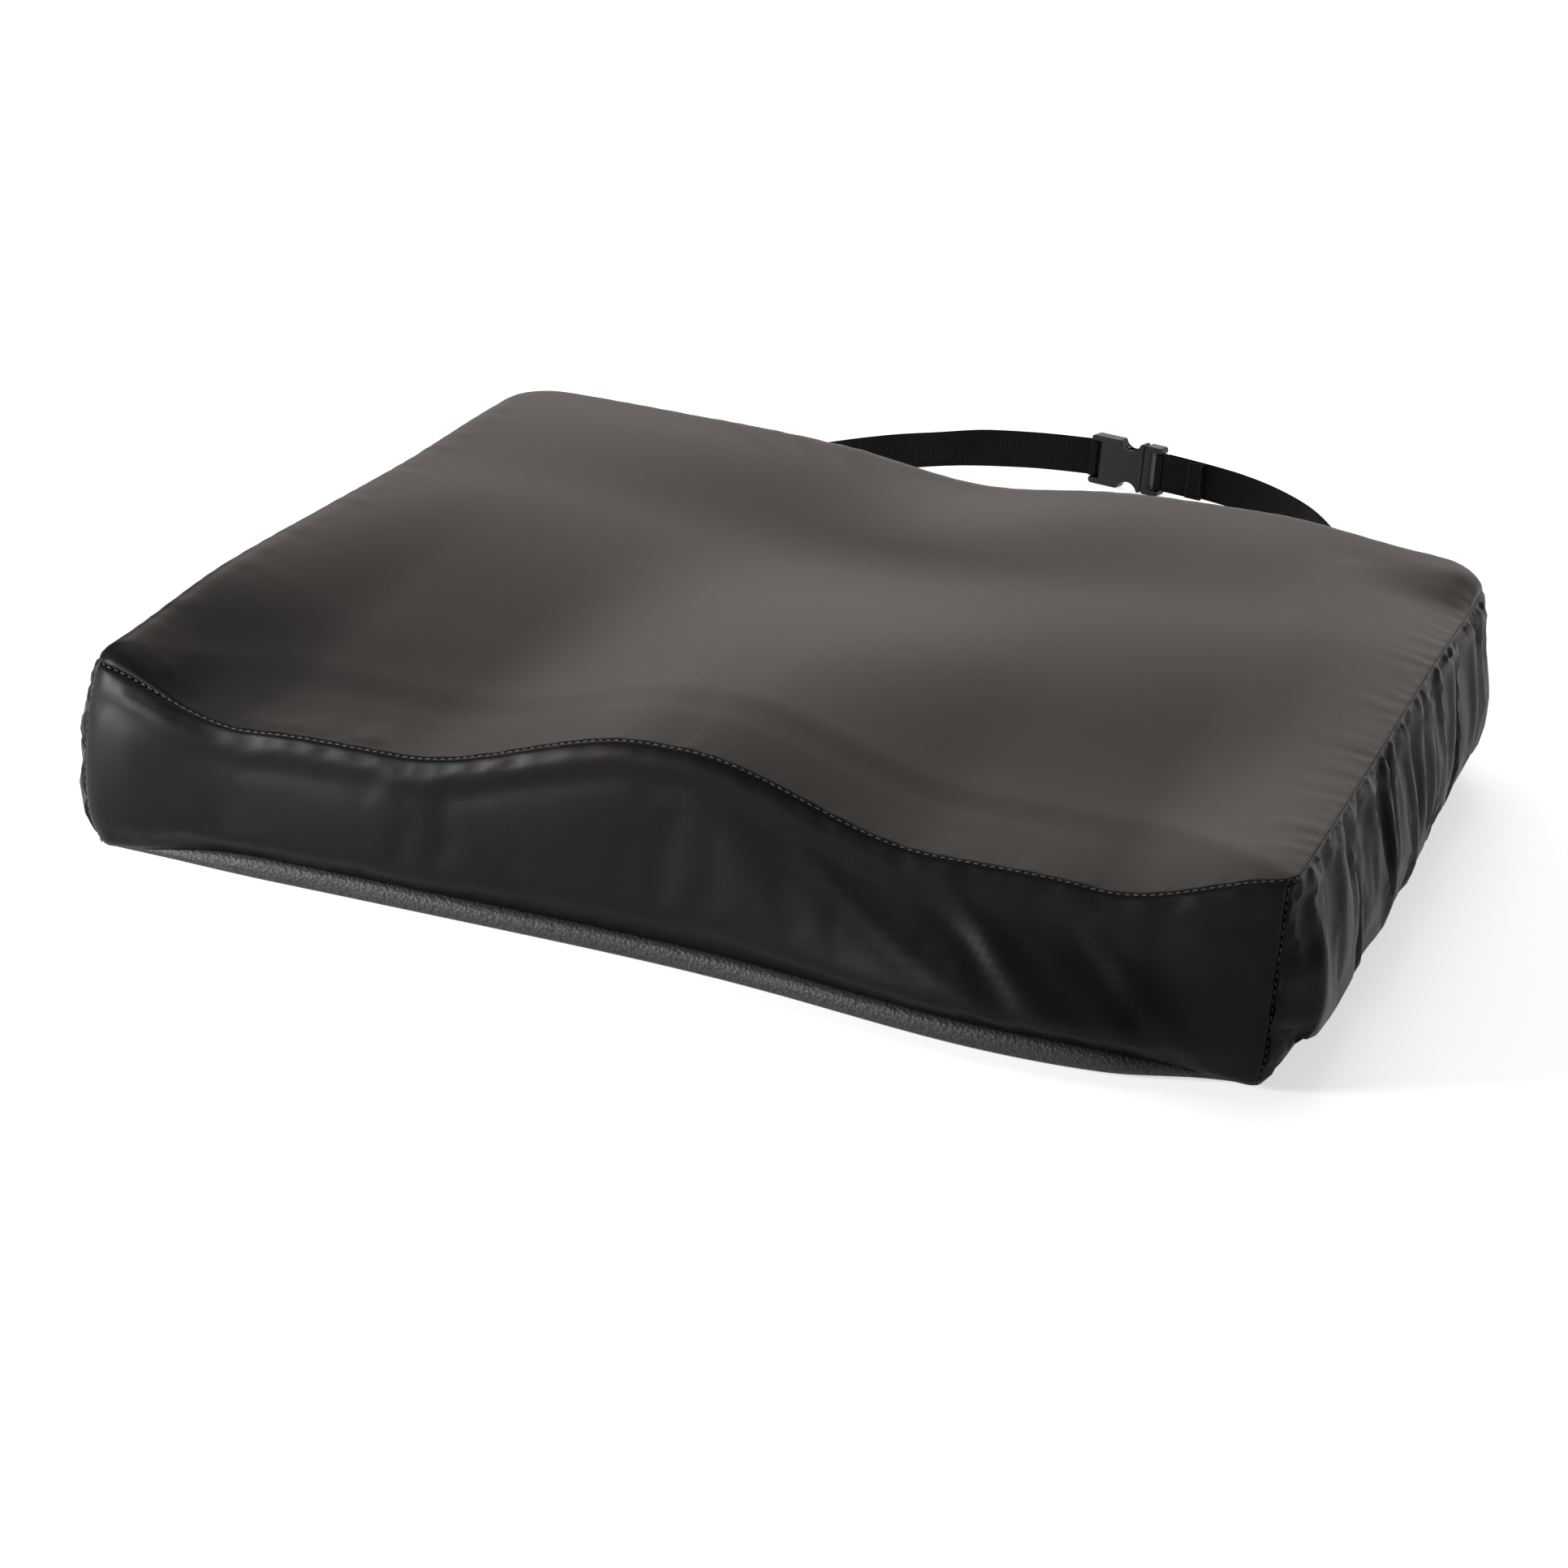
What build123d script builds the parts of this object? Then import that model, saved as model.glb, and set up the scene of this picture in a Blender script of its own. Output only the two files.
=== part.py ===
"""Contoured foam seat cushion with a zip-off cover and a buckled retaining strap.

Millimetres. +X is the user's right when seated, +Y is the back of the cushion and +Z is up.
The origin is the middle of the underside.
"""
from build123d import *
import math
import os

# ---- Driving dimensions: the cushion ----
width = 457.0              # left to right, an 18 in seat
depth = 406.0              # front to back, 16 in
front_height = 85.0        # seat surface at the front corners, before the edge rolls over
back_height = 98.0         # seat surface at the rear corners
front_corner_r = 12.0
back_corner_r = 28.0
roll_drop = 8.0            # how far the top panel turns down to its seam
roll_width = 26.0          # how far in from the edge it starts to turn
roll_power = 8.0           # how sharply it turns
seat_step = 16.0           # spacing of the seat surface's control points

# ---- Driving dimensions: seat contour, reaches as shares of the half width or the depth ----
trough_depth = 19.0        # thigh troughs below the corners, at the front edge
trough_outer = 0.30        # from the side edge to the bottom of a trough
trough_ridge = 0.03        # half the flat top of the ridge between the troughs
trough_inner = 0.42        # from the ridge to the bottom of a trough
trough_start = 0.05        # the troughs start to fade this far from the front
trough_run = 0.60          # and are gone after this much more
pommel_rise = 3.0          # ridge between the thighs above the corners
pommel_reach = 0.40
well_depth = 9.0           # hollow under the sitting bones
well_place = 0.64
well_reach_x = 0.50
well_reach_y = 0.22
notch_depth = 8.0          # relief in the middle of the rear edge
notch_reach = 0.21
notch_start = 0.72
notch_run = 0.26

# ---- Driving dimensions: cover and foam ----
cover_t = 1.2
base_t = 2.0
hem_z = 7.0                # the base panel wraps up to here
base_rim_r = 5.0
layer_gap = 0.3            # between foam, cover and foam
topper_t = 22.0

# ---- Driving dimensions: zip ----
zip_z = 36.0               # height of the zip's centre line
zip_end = 14.5             # from the coil's end to the start of the rear corner
zip_slot_clear = 0.8       # between the slider and the edge of the opening
zip_slot_over = 8.0        # how far the opening runs past the coil at each end
zip_pocket_over = 8.0      # how far the hollow in the foam runs past the opening
zip_pocket_depth = 6.0
tape_h = 13.0
tape_t = 0.6
coil_h = 2.6
coil_t = 2.2
coil_split = 1.3           # between the two coils, where the slider's wedge runs
stop_l = 2.4
slider_l = 12.0
slider_w = 10.0
slider_plate_t = 1.1
slider_clear = 0.25
wedge_l = 3.0
wedge_t = 0.8
arch_l = 6.0
arch_w = 1.8
arch_bar = 1.0
arch_gap = 2.2             # clear height under the arch
pull_l = 25.0
pull_w = 6.0
pull_t = 1.2
pull_window_l = 3.8
pull_clear = 0.4

# ---- Driving dimensions: strap and buckle ----
webbing_w = 20.0
webbing_t = 1.4
tab_l = 14.0
tab_t = 3.4
tab_over = 2.0
tail_l = 24.0
hem_l = 9.0
seam_gap = 0.1

buckle_x = -22.5
buckle_y = 578.0
buckle_angle = -13.0
buckle_side = 3.2          # beside the webbing slots
buckle_t = 8.5
female_l = 32.0
male_base_l = 10.4
buckle_wall = 1.6
cavity_l = 20.0
bar_l = 2.6                # bar that the webbing turns round, along the strap
bar_t = 3.6
loop_clear = 0.15
slot_l = 3.4
bite_r = 6.5               # finger scallop in each side of the female half
bite_depth = 4.6
cavity_side = 3.4          # beside the cavity, less than the scallops' depth
fit_clear = 0.3
guide_w = 3.6
guide_l = 16.0
guide_t = 2.6
latch_l = 17.0
latch_w = 1.8
latch_t = 3.6
pad_l = 8.0
pad_w = 1.6
knuckle_r = 1.3

# ---- Strap route between its corner tab and the buckle, along the floor ----
left_route = [
    (-208.0, 262.0), (-193.0, 332.0), (-174.0, 402.0), (-151.0, 469.0), (-129.0, 527.0),
    (-115.5, 560.3), (-102.0, 575.2), (-84.4, 584.6), (-64.6, 587.4),
]
right_route = [
    (30.0, 566.0), (56.0, 551.0), (79.0, 529.0), (98.0, 503.0), (118.0, 460.0),
    (141.0, 400.0), (165.0, 335.0), (193.0, 262.0),
]

# ---- Derived sizes ----
foam_in = cover_t + layer_gap
back_y = depth / 2
tall = 2 * max(front_height, back_height)
margin = 2 * roll_width
corner_cut = max(front_corner_r, back_corner_r) + 2 * margin
corner_reach = back_corner_r * (1 - math.sqrt(0.5))
corner_x = width / 2 - corner_reach
corner_y = back_y - corner_reach
zip_length = width - 2 * (back_corner_r + zip_end)
zip_slot_h = slider_w + 2 * zip_slot_clear
slot_length = zip_length + 2 * zip_slot_over
webbing_slot_h = webbing_w + 2 * fit_clear
buckle_w = webbing_slot_h + 2 * buckle_side
cavity_w = buckle_w - 2 * cavity_side
webbing_z = buckle_w / 2   # the strap and its buckle stand on edge on the floor

os.makedirs("parts", exist_ok=True)


def write(name, label):
    """Name a finished sub-part and write its STEP file."""
    name.part.label = label
    export_step(name.part, f"parts/{label}.step")


# ---- Seat surface ----
def smooth(t):
    """Ease from 0 to 1."""
    t = min(max(t, 0.0), 1.0)
    return t * t * (3 - 2 * t)


def edge_roll(x, y):
    """How far the top panel has turned down at a point near an edge."""
    in_x = max(0.0, 1 - (width / 2 - abs(x)) / roll_width)
    in_y = max(0.0, 1 - (depth / 2 - abs(y)) / roll_width)
    return roll_drop * (in_x ** roll_power + in_y ** roll_power) ** (2 / roll_power)


def seat_height(x, y):
    """Height of the seat surface: two troughs, a pommel, a well and a rear notch."""
    u = min(abs(2 * x / width), 1.0)
    v = min(max(y / depth + 0.5, 0.0), 1.0)
    rise = front_height + (back_height - front_height) * v
    trough = trough_depth * smooth((1 - u) / trough_outer)
    trough *= smooth((u - trough_ridge) / trough_inner)
    pommel = pommel_rise * (1 - smooth(u / pommel_reach))
    fade = 1 - smooth((v - trough_start) / trough_run)
    well_x = (u / well_reach_x) ** 2
    well_y = ((v - well_place) / well_reach_y) ** 2
    well = well_depth * math.exp(-well_x - well_y)
    notch = notch_depth * math.exp(-((u / notch_reach) ** 2))
    notch *= smooth((v - notch_start) / notch_run)
    return rise - (trough - pommel) * fade - well - notch - edge_roll(x, y)


def even_steps(length):
    """Evenly spaced stations across a side, running past both edges."""
    count = round((length + 2 * margin) / seat_step)
    step = (length + 2 * margin) / count
    return [-length / 2 - margin + step * i for i in range(count + 1)]


def seat_face(drop):
    """The seat surface as one smooth face, lowered by drop."""
    rows = []
    for y in even_steps(depth):
        rows.append([Vector(x, y, seat_height(x, y) - drop) for x in even_steps(width)])
    return Face.make_surface_from_array_of_points(rows, tol=0.05)


def outline(inset):
    """The cushion's outline in plan, drawn in from the cover's outer face."""
    with BuildSketch(mode=Mode.PRIVATE) as shape:
        Rectangle(width - 2 * inset, depth - 2 * inset)
        fillet(shape.vertices().group_by(Axis.Y)[0], front_corner_r - inset)
        fillet(shape.vertices().group_by(Axis.Y)[-1], back_corner_r - inset)
    return shape.sketch


seat = seat_face(0)
under_cover = seat_face(cover_t)
topper_top = seat_face(foam_in)
topper_bottom = seat_face(foam_in + topper_t)
base_top = seat_face(foam_in + topper_t + layer_gap)

# ---- Foam ----
with BuildPart() as foam_base:
    with BuildSketch(Plane.XY.offset(base_t + layer_gap)):
        add(outline(foam_in))
    extrude(amount=tall)
    extrude(base_top, amount=tall, dir=(0, 0, 1), mode=Mode.SUBTRACT)
    with BuildSketch(Plane.XY.offset(zip_z)):
        with Locations((0, back_y)):
            Rectangle(slot_length + 2 * zip_pocket_over, 2 * (foam_in + zip_pocket_depth))
    extrude(amount=coil_split + tape_h + layer_gap, both=True, mode=Mode.SUBTRACT)
write(foam_base, "foam_base")

with BuildPart() as foam_topper:
    with BuildSketch():
        add(outline(foam_in))
    extrude(amount=tall)
    extrude(topper_top, amount=tall, dir=(0, 0, 1), mode=Mode.SUBTRACT)
    extrude(topper_bottom, amount=tall, dir=(0, 0, -1), mode=Mode.SUBTRACT)
write(foam_topper, "foam_topper")

# ---- Cover ----
with BuildPart() as cover_top:
    with BuildSketch():
        add(outline(0))
    extrude(amount=tall)
    extrude(seat, amount=tall, dir=(0, 0, 1), mode=Mode.SUBTRACT)
    extrude(under_cover, amount=tall, dir=(0, 0, -1), mode=Mode.SUBTRACT)
write(cover_top, "cover_top")


def side_region(side):
    """The part of the plan that belongs to one side, between 45 degree corner seams."""
    out_x = width / 2 + margin
    out_y = depth / 2 + margin
    outer = [(-out_x, -out_y), (out_x, -out_y), (out_x, out_y), (-out_x, out_y)]
    cut = corner_cut
    inner_points = [
        (-out_x + cut, -out_y + cut), (out_x - cut, -out_y + cut),
        (out_x - cut, out_y - cut), (-out_x + cut, out_y - cut),
    ]
    first = side
    second = (side + 1) % 4
    with BuildSketch(mode=Mode.PRIVATE) as region:
        with BuildLine():
            Polyline(outer[first], outer[second], inner_points[second], inner_points[first],
                     close=True)
        make_face()
    return region.sketch


def side_wall(side, low, high):
    """Solid of one side panel of the cover between two heights, up to the top seam."""
    with BuildPart(mode=Mode.PRIVATE) as wall:
        with BuildSketch(Plane.XY.offset(low)):
            add(outline(0))
            add(outline(cover_t), mode=Mode.SUBTRACT)
            add(side_region(side), mode=Mode.INTERSECT)
        extrude(amount=high - low)
        extrude(under_cover, amount=tall, dir=(0, 0, 1), mode=Mode.SUBTRACT)
    return wall.part


front_side, right_side, back_side, left_side = range(4)

with BuildPart() as cover_front:
    add(side_wall(front_side, hem_z, tall))
write(cover_front, "cover_front")

with BuildPart() as cover_side_right:
    add(side_wall(right_side, hem_z, tall))
write(cover_side_right, "cover_side_right")

with BuildPart() as cover_side_left:
    add(side_wall(left_side, hem_z, tall))
write(cover_side_left, "cover_side_left")

for label, low, high in (("cover_back_lower", hem_z, zip_z), ("cover_back_upper", zip_z, tall)):
    with BuildPart() as cover_back:
        add(side_wall(back_side, low, high))
        with BuildSketch(Plane.XY.offset(zip_z)):
            with Locations((0, back_y)):
                Rectangle(slot_length, 4 * cover_t)
        extrude(amount=zip_slot_h / 2, both=True, mode=Mode.SUBTRACT)
    write(cover_back, label)

with BuildPart() as base_panel:
    with BuildSketch():
        add(outline(0))
    extrude(amount=hem_z)
    fillet(base_panel.faces().sort_by(Axis.Z)[0].edges(), base_rim_r)
    with BuildSketch(Plane.XY.offset(base_t)):
        add(outline(foam_in))
    extrude(amount=hem_z, mode=Mode.SUBTRACT)
write(base_panel, "base_panel")

# ---- Zip in the back panel ----
tape_out = back_y - cover_t - seam_gap
tape_in = tape_out - tape_t
coil_out = tape_out + coil_t
coil_low = coil_split / 2
outer_plate_y = coil_out + slider_clear
inner_plate_y = tape_in - slider_clear

for label, up in (("upper", 1), ("lower", -1)):
    with BuildPart() as zip_tape:
        with BuildSketch(Plane.XZ.offset(-tape_in)):
            with Locations((0, zip_z + up * (coil_low + tape_h / 2))):
                Rectangle(slot_length, tape_h)
        extrude(amount=-tape_t)
    write(zip_tape, f"zip_tape_{label}")
    with BuildPart() as zip_coil:
        with BuildSketch(Plane.XZ.offset(-tape_out)):
            with Locations((0, zip_z + up * (coil_low + coil_h / 2))):
                Rectangle(zip_length, coil_h)
        extrude(amount=-coil_t)
        fillet(zip_coil.faces().sort_by(Axis.Y)[-1].edges().filter_by(Axis.X), coil_h / 4)
    write(zip_coil, f"zip_coil_{label}")

with BuildPart() as zip_stops:
    with BuildSketch(Plane.XZ.offset(-tape_out)):
        for end in (-1, 1):
            with Locations((end * (zip_length + stop_l + 2 * seam_gap) / 2, zip_z)):
                Rectangle(stop_l, coil_split + 2 * coil_h)
    extrude(amount=-coil_t)
write(zip_stops, "zip_stops")

slider_x = (zip_length - slider_l) / 2 - seam_gap
rail_h = (slider_w - coil_split) / 2 - coil_h - slider_clear
rail_z = slider_w / 2 - rail_h / 2
arch_foot = outer_plate_y + slider_plate_t
arch_h = arch_gap + arch_bar
pivot_y = arch_foot + arch_gap / 2

with BuildPart() as zip_slider:
    for plate_y in (outer_plate_y, inner_plate_y - slider_plate_t):
        with BuildSketch(Plane.XZ.offset(-plate_y)):
            with Locations((slider_x, zip_z)):
                RectangleRounded(slider_l, slider_w, slider_w / 4)
        extrude(amount=-slider_plate_t)
    with BuildSketch(Plane.XZ.offset(-inner_plate_y)):
        with Locations((slider_x + (slider_l - wedge_l) / 2 - seam_gap, zip_z)):
            Rectangle(wedge_l, wedge_t)
    extrude(amount=-(outer_plate_y - inner_plate_y))
    with BuildSketch(Plane.XZ.offset(-(tape_out + slider_clear))):
        for end in (-1, 1):
            with Locations((slider_x, zip_z + end * rail_z)):
                Rectangle(slider_l / 2, rail_h)
    extrude(amount=-(outer_plate_y - tape_out - slider_clear))
    with BuildSketch(Plane.XY.offset(zip_z)):
        with Locations((slider_x, arch_foot + arch_h / 2)):
            Rectangle(arch_l, arch_h)
        with Locations((slider_x, arch_foot + arch_gap / 2)):
            Rectangle(arch_l - 2 * arch_bar, arch_gap, mode=Mode.SUBTRACT)
    extrude(amount=arch_w / 2, both=True)
write(zip_slider, "zip_slider")

with BuildPart() as zip_pull_tab:
    with BuildSketch(Plane.XZ.offset(-(pivot_y - pull_t / 2))):
        with Locations((slider_x + pull_l / 2, zip_z)):
            RectangleRounded(pull_l, pull_w, pull_w / 4)
        with Locations((slider_x + pull_window_l / 2, zip_z)):
            Rectangle(pull_window_l, pull_w)
        with Locations((slider_x + pull_t / 2 + pull_window_l / 2, zip_z)):
            Rectangle(pull_window_l, arch_w + 2 * pull_clear, mode=Mode.SUBTRACT)
    extrude(amount=-pull_t)
    with BuildSketch(Plane.XY.offset(zip_z)):
        with Locations((slider_x, pivot_y)):
            Circle(pull_t / 2)
    extrude(amount=pull_w / 2, both=True)
write(zip_pull_tab, "zip_pull_tab")


# ---- Strap ----
def unit(a, b):
    """Direction from a to b in plan."""
    length = math.dist(a, b)
    return ((b[0] - a[0]) / length, (b[1] - a[1]) / length)


def step_from(a, direction, length):
    """Point a given length from a."""
    return (a[0] + direction[0] * length, a[1] + direction[1] * length)


def webbing_line(points):
    """Straight runs joined by tangent arcs, each arc as large as its two runs allow."""
    start = points[0]
    radii = []
    for before, corner, after in zip(points, points[1:], points[2:]):
        way_in = unit(before, corner)
        way_out = unit(corner, after)
        cross = way_in[0] * way_out[1] - way_in[1] * way_out[0]
        turn = math.asin(cross)
        reach = 0.45 * min(math.dist(before, corner), math.dist(corner, after))
        arc_start = step_from(corner, way_in, -reach)
        arc_end = step_from(corner, way_out, reach)
        radii.append(round(reach / math.tan(abs(turn) / 2)))
        Line(start, arc_start)
        TangentArc(arc_start, arc_end, tangent=way_in)
        start = arc_end
    Line(start, points[-1])
    print("webbing radii", radii)


def webbing(points):
    """Webbing that stands on edge along a route."""
    with BuildPart(mode=Mode.PRIVATE) as strap:
        with BuildSketch(Plane.XY.offset(webbing_z)):
            with BuildLine():
                webbing_line(points)
            trace(line_width=webbing_t)
        extrude(amount=webbing_w / 2, both=True)
    return strap.part


turn = math.radians(buckle_angle)
along = (math.cos(turn), math.sin(turn))
buckle_front = (math.sin(turn), -math.cos(turn), 0)


def on_buckle(length, behind=0.0):
    """Point in plan beside the buckle's line, measured from the buckle's middle."""
    return step_from(step_from((buckle_x, buckle_y), along, length), (-along[1], along[0]), behind)


def buckle_plane(offset=0.0):
    """Plane of the buckle's broad face: x along the strap, y up."""
    return Plane(origin=(buckle_x, buckle_y, webbing_z), x_dir=(*along, 0),
                 z_dir=buckle_front).offset(offset)


def buckle_plan(offset=0.0):
    """Horizontal plane through the buckle: x along the strap, y towards the cushion's back."""
    return Plane(origin=(buckle_x, buckle_y, webbing_z + offset), x_dir=(*along, 0),
                 z_dir=(0, 0, 1))


female_x0 = -(female_l + male_base_l + fit_clear) / 2
female_x1 = female_x0 + female_l
male_x0 = female_x1 + fit_clear
male_x1 = male_x0 + male_base_l
left_bar_x = female_x0 + bar_l / 2
right_bar_x = male_x1 - bar_l / 2
loop_in_l = bar_l + 2 * loop_clear
loop_in_t = bar_t + 2 * loop_clear
loop_out_l = loop_in_l + 2 * webbing_t
loop_out_t = loop_in_t + 2 * webbing_t
tail_y = (loop_out_t - webbing_t) / 2
left_end = on_buckle(left_bar_x - loop_out_l / 2 - seam_gap)
right_end = on_buckle(right_bar_x + loop_out_l / 2 + seam_gap, tail_y)

for label, side, route, end in (
        ("left", -1, left_route, left_end), ("right", 1, right_route[::-1], right_end)):
    corner = (side * corner_x, corner_y)
    way = unit(corner, route[0])
    leave = step_from(corner, way, tab_l + seam_gap)
    with BuildPart() as strap:
        add(webbing([leave, *route, end]))
    print("strap", label, "length", round(strap.part.volume / webbing_t / webbing_w, 1))
    write(strap, f"strap_{label}")

    tab_plane = Plane(origin=(*corner, webbing_z), x_dir=(*way, 0), z_dir=(0, 0, 1))
    with BuildPart() as strap_tab:
        with BuildSketch(tab_plane):
            Rectangle(2 * tab_l, tab_t)
        extrude(amount=webbing_w / 2 + tab_over, both=True)
        with BuildSketch():
            add(outline(-seam_gap))
        extrude(amount=tall, mode=Mode.SUBTRACT)
    write(strap_tab, f"strap_tab_{label}")

for label, bar_x in (("left", left_bar_x), ("right", right_bar_x)):
    with BuildPart() as strap_loop:
        with BuildSketch(buckle_plan()):
            with Locations((bar_x, 0)):
                RectangleRounded(loop_out_l, loop_out_t, webbing_t + loop_clear)
                RectangleRounded(loop_in_l, loop_in_t, loop_clear, mode=Mode.SUBTRACT)
        extrude(amount=webbing_w / 2, both=True)
    write(strap_loop, f"strap_{label}_loop")

tail_x0 = right_bar_x + loop_out_l / 2 + seam_gap
with BuildPart() as strap_tail:
    with BuildSketch(buckle_plan()):
        with Locations((tail_x0 + tail_l / 2, -tail_y)):
            Rectangle(tail_l, webbing_t)
    extrude(amount=webbing_w / 2, both=True)
write(strap_tail, "strap_tail")

with BuildPart() as strap_tail_hem:
    with BuildSketch(buckle_plan()):
        with Locations((tail_x0 + tail_l - hem_l / 2, -tail_y - webbing_t - seam_gap)):
            Rectangle(hem_l, webbing_t)
    extrude(amount=webbing_w / 2, both=True)
write(strap_tail_hem, "strap_tail_hem")

# ---- Buckle ----
cavity_t = buckle_t - 2 * buckle_wall

with BuildPart() as buckle_female:
    with BuildSketch(buckle_plane()):
        with Locations(((female_x0 + female_x1) / 2, 0)):
            RectangleRounded(female_l, buckle_w, buckle_wall)
    extrude(amount=buckle_t / 2, both=True)
    with BuildSketch(buckle_plane()):
        with Locations((female_x0 + bar_l + slot_l / 2, 0)):
            Rectangle(slot_l, webbing_slot_h)
    extrude(amount=buckle_t, both=True, mode=Mode.SUBTRACT)
    with BuildSketch(buckle_plane()):
        with Locations((left_bar_x, 0)):
            Rectangle(2 * bar_l, webbing_slot_h)
    extrude(amount=buckle_t, both=True, mode=Mode.SUBTRACT)
    with BuildSketch(buckle_plane()):
        with Locations((left_bar_x, 0)):
            Rectangle(bar_l, webbing_slot_h + 2 * buckle_wall)
    extrude(amount=bar_t / 2, both=True)
    with BuildSketch(buckle_plane()):
        with Locations((female_x1 - cavity_l / 2, 0)):
            Rectangle(cavity_l, cavity_w)
    extrude(amount=cavity_t / 2, both=True, mode=Mode.SUBTRACT)
    with BuildSketch(buckle_plane()):
        with Locations(*[(female_x1 - cavity_l / 2 + buckle_wall,
                          side * (buckle_w / 2 + bite_r - bite_depth)) for side in (-1, 1)]):
            Circle(bite_r)
    extrude(amount=buckle_t, both=True, mode=Mode.SUBTRACT)
write(buckle_female, "buckle_female")

latch_z = cavity_w / 2 - fit_clear - pad_w - latch_w / 2
knuckle_x = male_x0 - knuckle_r - fit_clear
socket_r = knuckle_r + fit_clear

with BuildPart() as buckle_male:
    with BuildSketch(buckle_plane()):
        with Locations(((male_x0 + male_x1) / 2, 0)):
            RectangleRounded(male_base_l, buckle_w, buckle_wall)
    extrude(amount=buckle_t / 2, both=True)
    with BuildSketch(buckle_plane()):
        with Locations((male_x1 - bar_l - slot_l / 2, 0)):
            Rectangle(slot_l, webbing_slot_h)
    extrude(amount=buckle_t, both=True, mode=Mode.SUBTRACT)
    with BuildSketch(buckle_plane()):
        with Locations((right_bar_x, 0)):
            Rectangle(2 * bar_l, webbing_slot_h)
    extrude(amount=buckle_t, both=True, mode=Mode.SUBTRACT)
    with BuildSketch(buckle_plane()):
        with Locations((right_bar_x, 0)):
            Rectangle(bar_l, webbing_slot_h + 2 * buckle_wall)
    extrude(amount=bar_t / 2, both=True)
    with BuildSketch(buckle_plane()):
        with Locations((male_x0 - guide_l / 2 + buckle_wall / 2, 0)):
            Rectangle(guide_l + buckle_wall, guide_w)
    extrude(amount=guide_t / 2, both=True)
write(buckle_male, "buckle_male")

for label, up in (("upper", 1), ("lower", -1)):
    with BuildPart() as latch:
        with BuildSketch(buckle_plane()):
            with Locations((knuckle_x, up * latch_z)):
                Circle(knuckle_r)
            with Locations((knuckle_x - latch_l / 2, up * latch_z)):
                Rectangle(latch_l, latch_w)
            with Locations((knuckle_x - latch_l + pad_l / 2, up * (latch_z + pad_w / 2))):
                Rectangle(pad_l, latch_w + pad_w)
        extrude(amount=latch_t / 2, both=True)
    write(latch, f"buckle_latch_{label}")

print("zip slider pivot", round(slider_x, 2), round(pivot_y, 2), zip_z)
for label, up in (("upper", 1), ("lower", -1)):
    print("latch pivot", label, [round(n, 3) for n in on_buckle(knuckle_x)],
          round(webbing_z + up * latch_z, 2))
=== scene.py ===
"""Looks of the contoured seat cushion: cover, non-slip base, zip, strap and buckle."""
import math
import random

import bmesh
import bpy
import numpy as np
from mathutils import Matrix, Vector


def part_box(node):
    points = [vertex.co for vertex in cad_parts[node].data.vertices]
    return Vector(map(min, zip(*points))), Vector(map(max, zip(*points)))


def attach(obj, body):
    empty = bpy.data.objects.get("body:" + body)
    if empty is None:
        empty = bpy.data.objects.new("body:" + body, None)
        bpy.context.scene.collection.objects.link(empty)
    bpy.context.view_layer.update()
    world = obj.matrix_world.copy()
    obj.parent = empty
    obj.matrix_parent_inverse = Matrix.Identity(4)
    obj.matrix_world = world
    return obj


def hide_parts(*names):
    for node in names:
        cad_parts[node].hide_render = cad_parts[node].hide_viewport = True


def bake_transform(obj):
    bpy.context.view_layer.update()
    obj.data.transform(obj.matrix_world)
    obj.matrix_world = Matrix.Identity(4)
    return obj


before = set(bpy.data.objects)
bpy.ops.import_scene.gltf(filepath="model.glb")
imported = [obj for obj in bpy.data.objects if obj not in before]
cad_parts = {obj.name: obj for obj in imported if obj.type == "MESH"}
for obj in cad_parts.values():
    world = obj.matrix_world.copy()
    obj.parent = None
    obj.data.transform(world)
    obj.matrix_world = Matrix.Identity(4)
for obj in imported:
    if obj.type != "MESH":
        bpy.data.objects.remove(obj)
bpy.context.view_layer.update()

MM = 0.001

# ---- Sizes of the cushion, in millimetres, as in the design ----
low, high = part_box("cover_top")
width = (high[0] - low[0]) / MM
depth = (high[1] - low[1]) / MM
front_height = 85.0
back_height = 98.0
front_corner_r = 10.0
back_corner_r = 28.0
trough_depth = 19.0
pommel_rise = 3.0
well_depth = 9.0
notch_depth = 8.0
roll_drop = 8.0
roll_r = 14.0              # the top panel rounds the foam's edge on this radius
hem_z = 7.0
base_inset = 7.0
cloth_t = 0.9
webbing_w = 20.0
webbing_z = 13.5
zip_z = 36.0
zip_end = 14.5             # from the coil's end to the start of the rear corner
coil_y = 202.8
zip_slot_half = 6.0


# ---- Shape of the padded cover ----
def smooth(t):
    """Ease from 0 to 1."""
    t = np.clip(t, 0.0, 1.0)
    return t * t * (3 - 2 * t)


def bump(t):
    """Bell of height 1, about 1 wide on each side."""
    return np.exp(-(t ** 2))


def edge_distance(x, y):
    """How far inside the cushion's rounded outline a point is."""
    r = np.where(y < 0, front_corner_r, back_corner_r)
    in_x = np.abs(x) - (width / 2 - r)
    in_y = np.abs(y) - (depth / 2 - r)
    corner = r - np.hypot(np.maximum(in_x, 0), np.maximum(in_y, 0))
    flat = np.minimum(width / 2 - np.abs(x), depth / 2 - np.abs(y))
    return np.maximum(np.where((in_x > 0) & (in_y > 0), corner, flat), 0)


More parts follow.
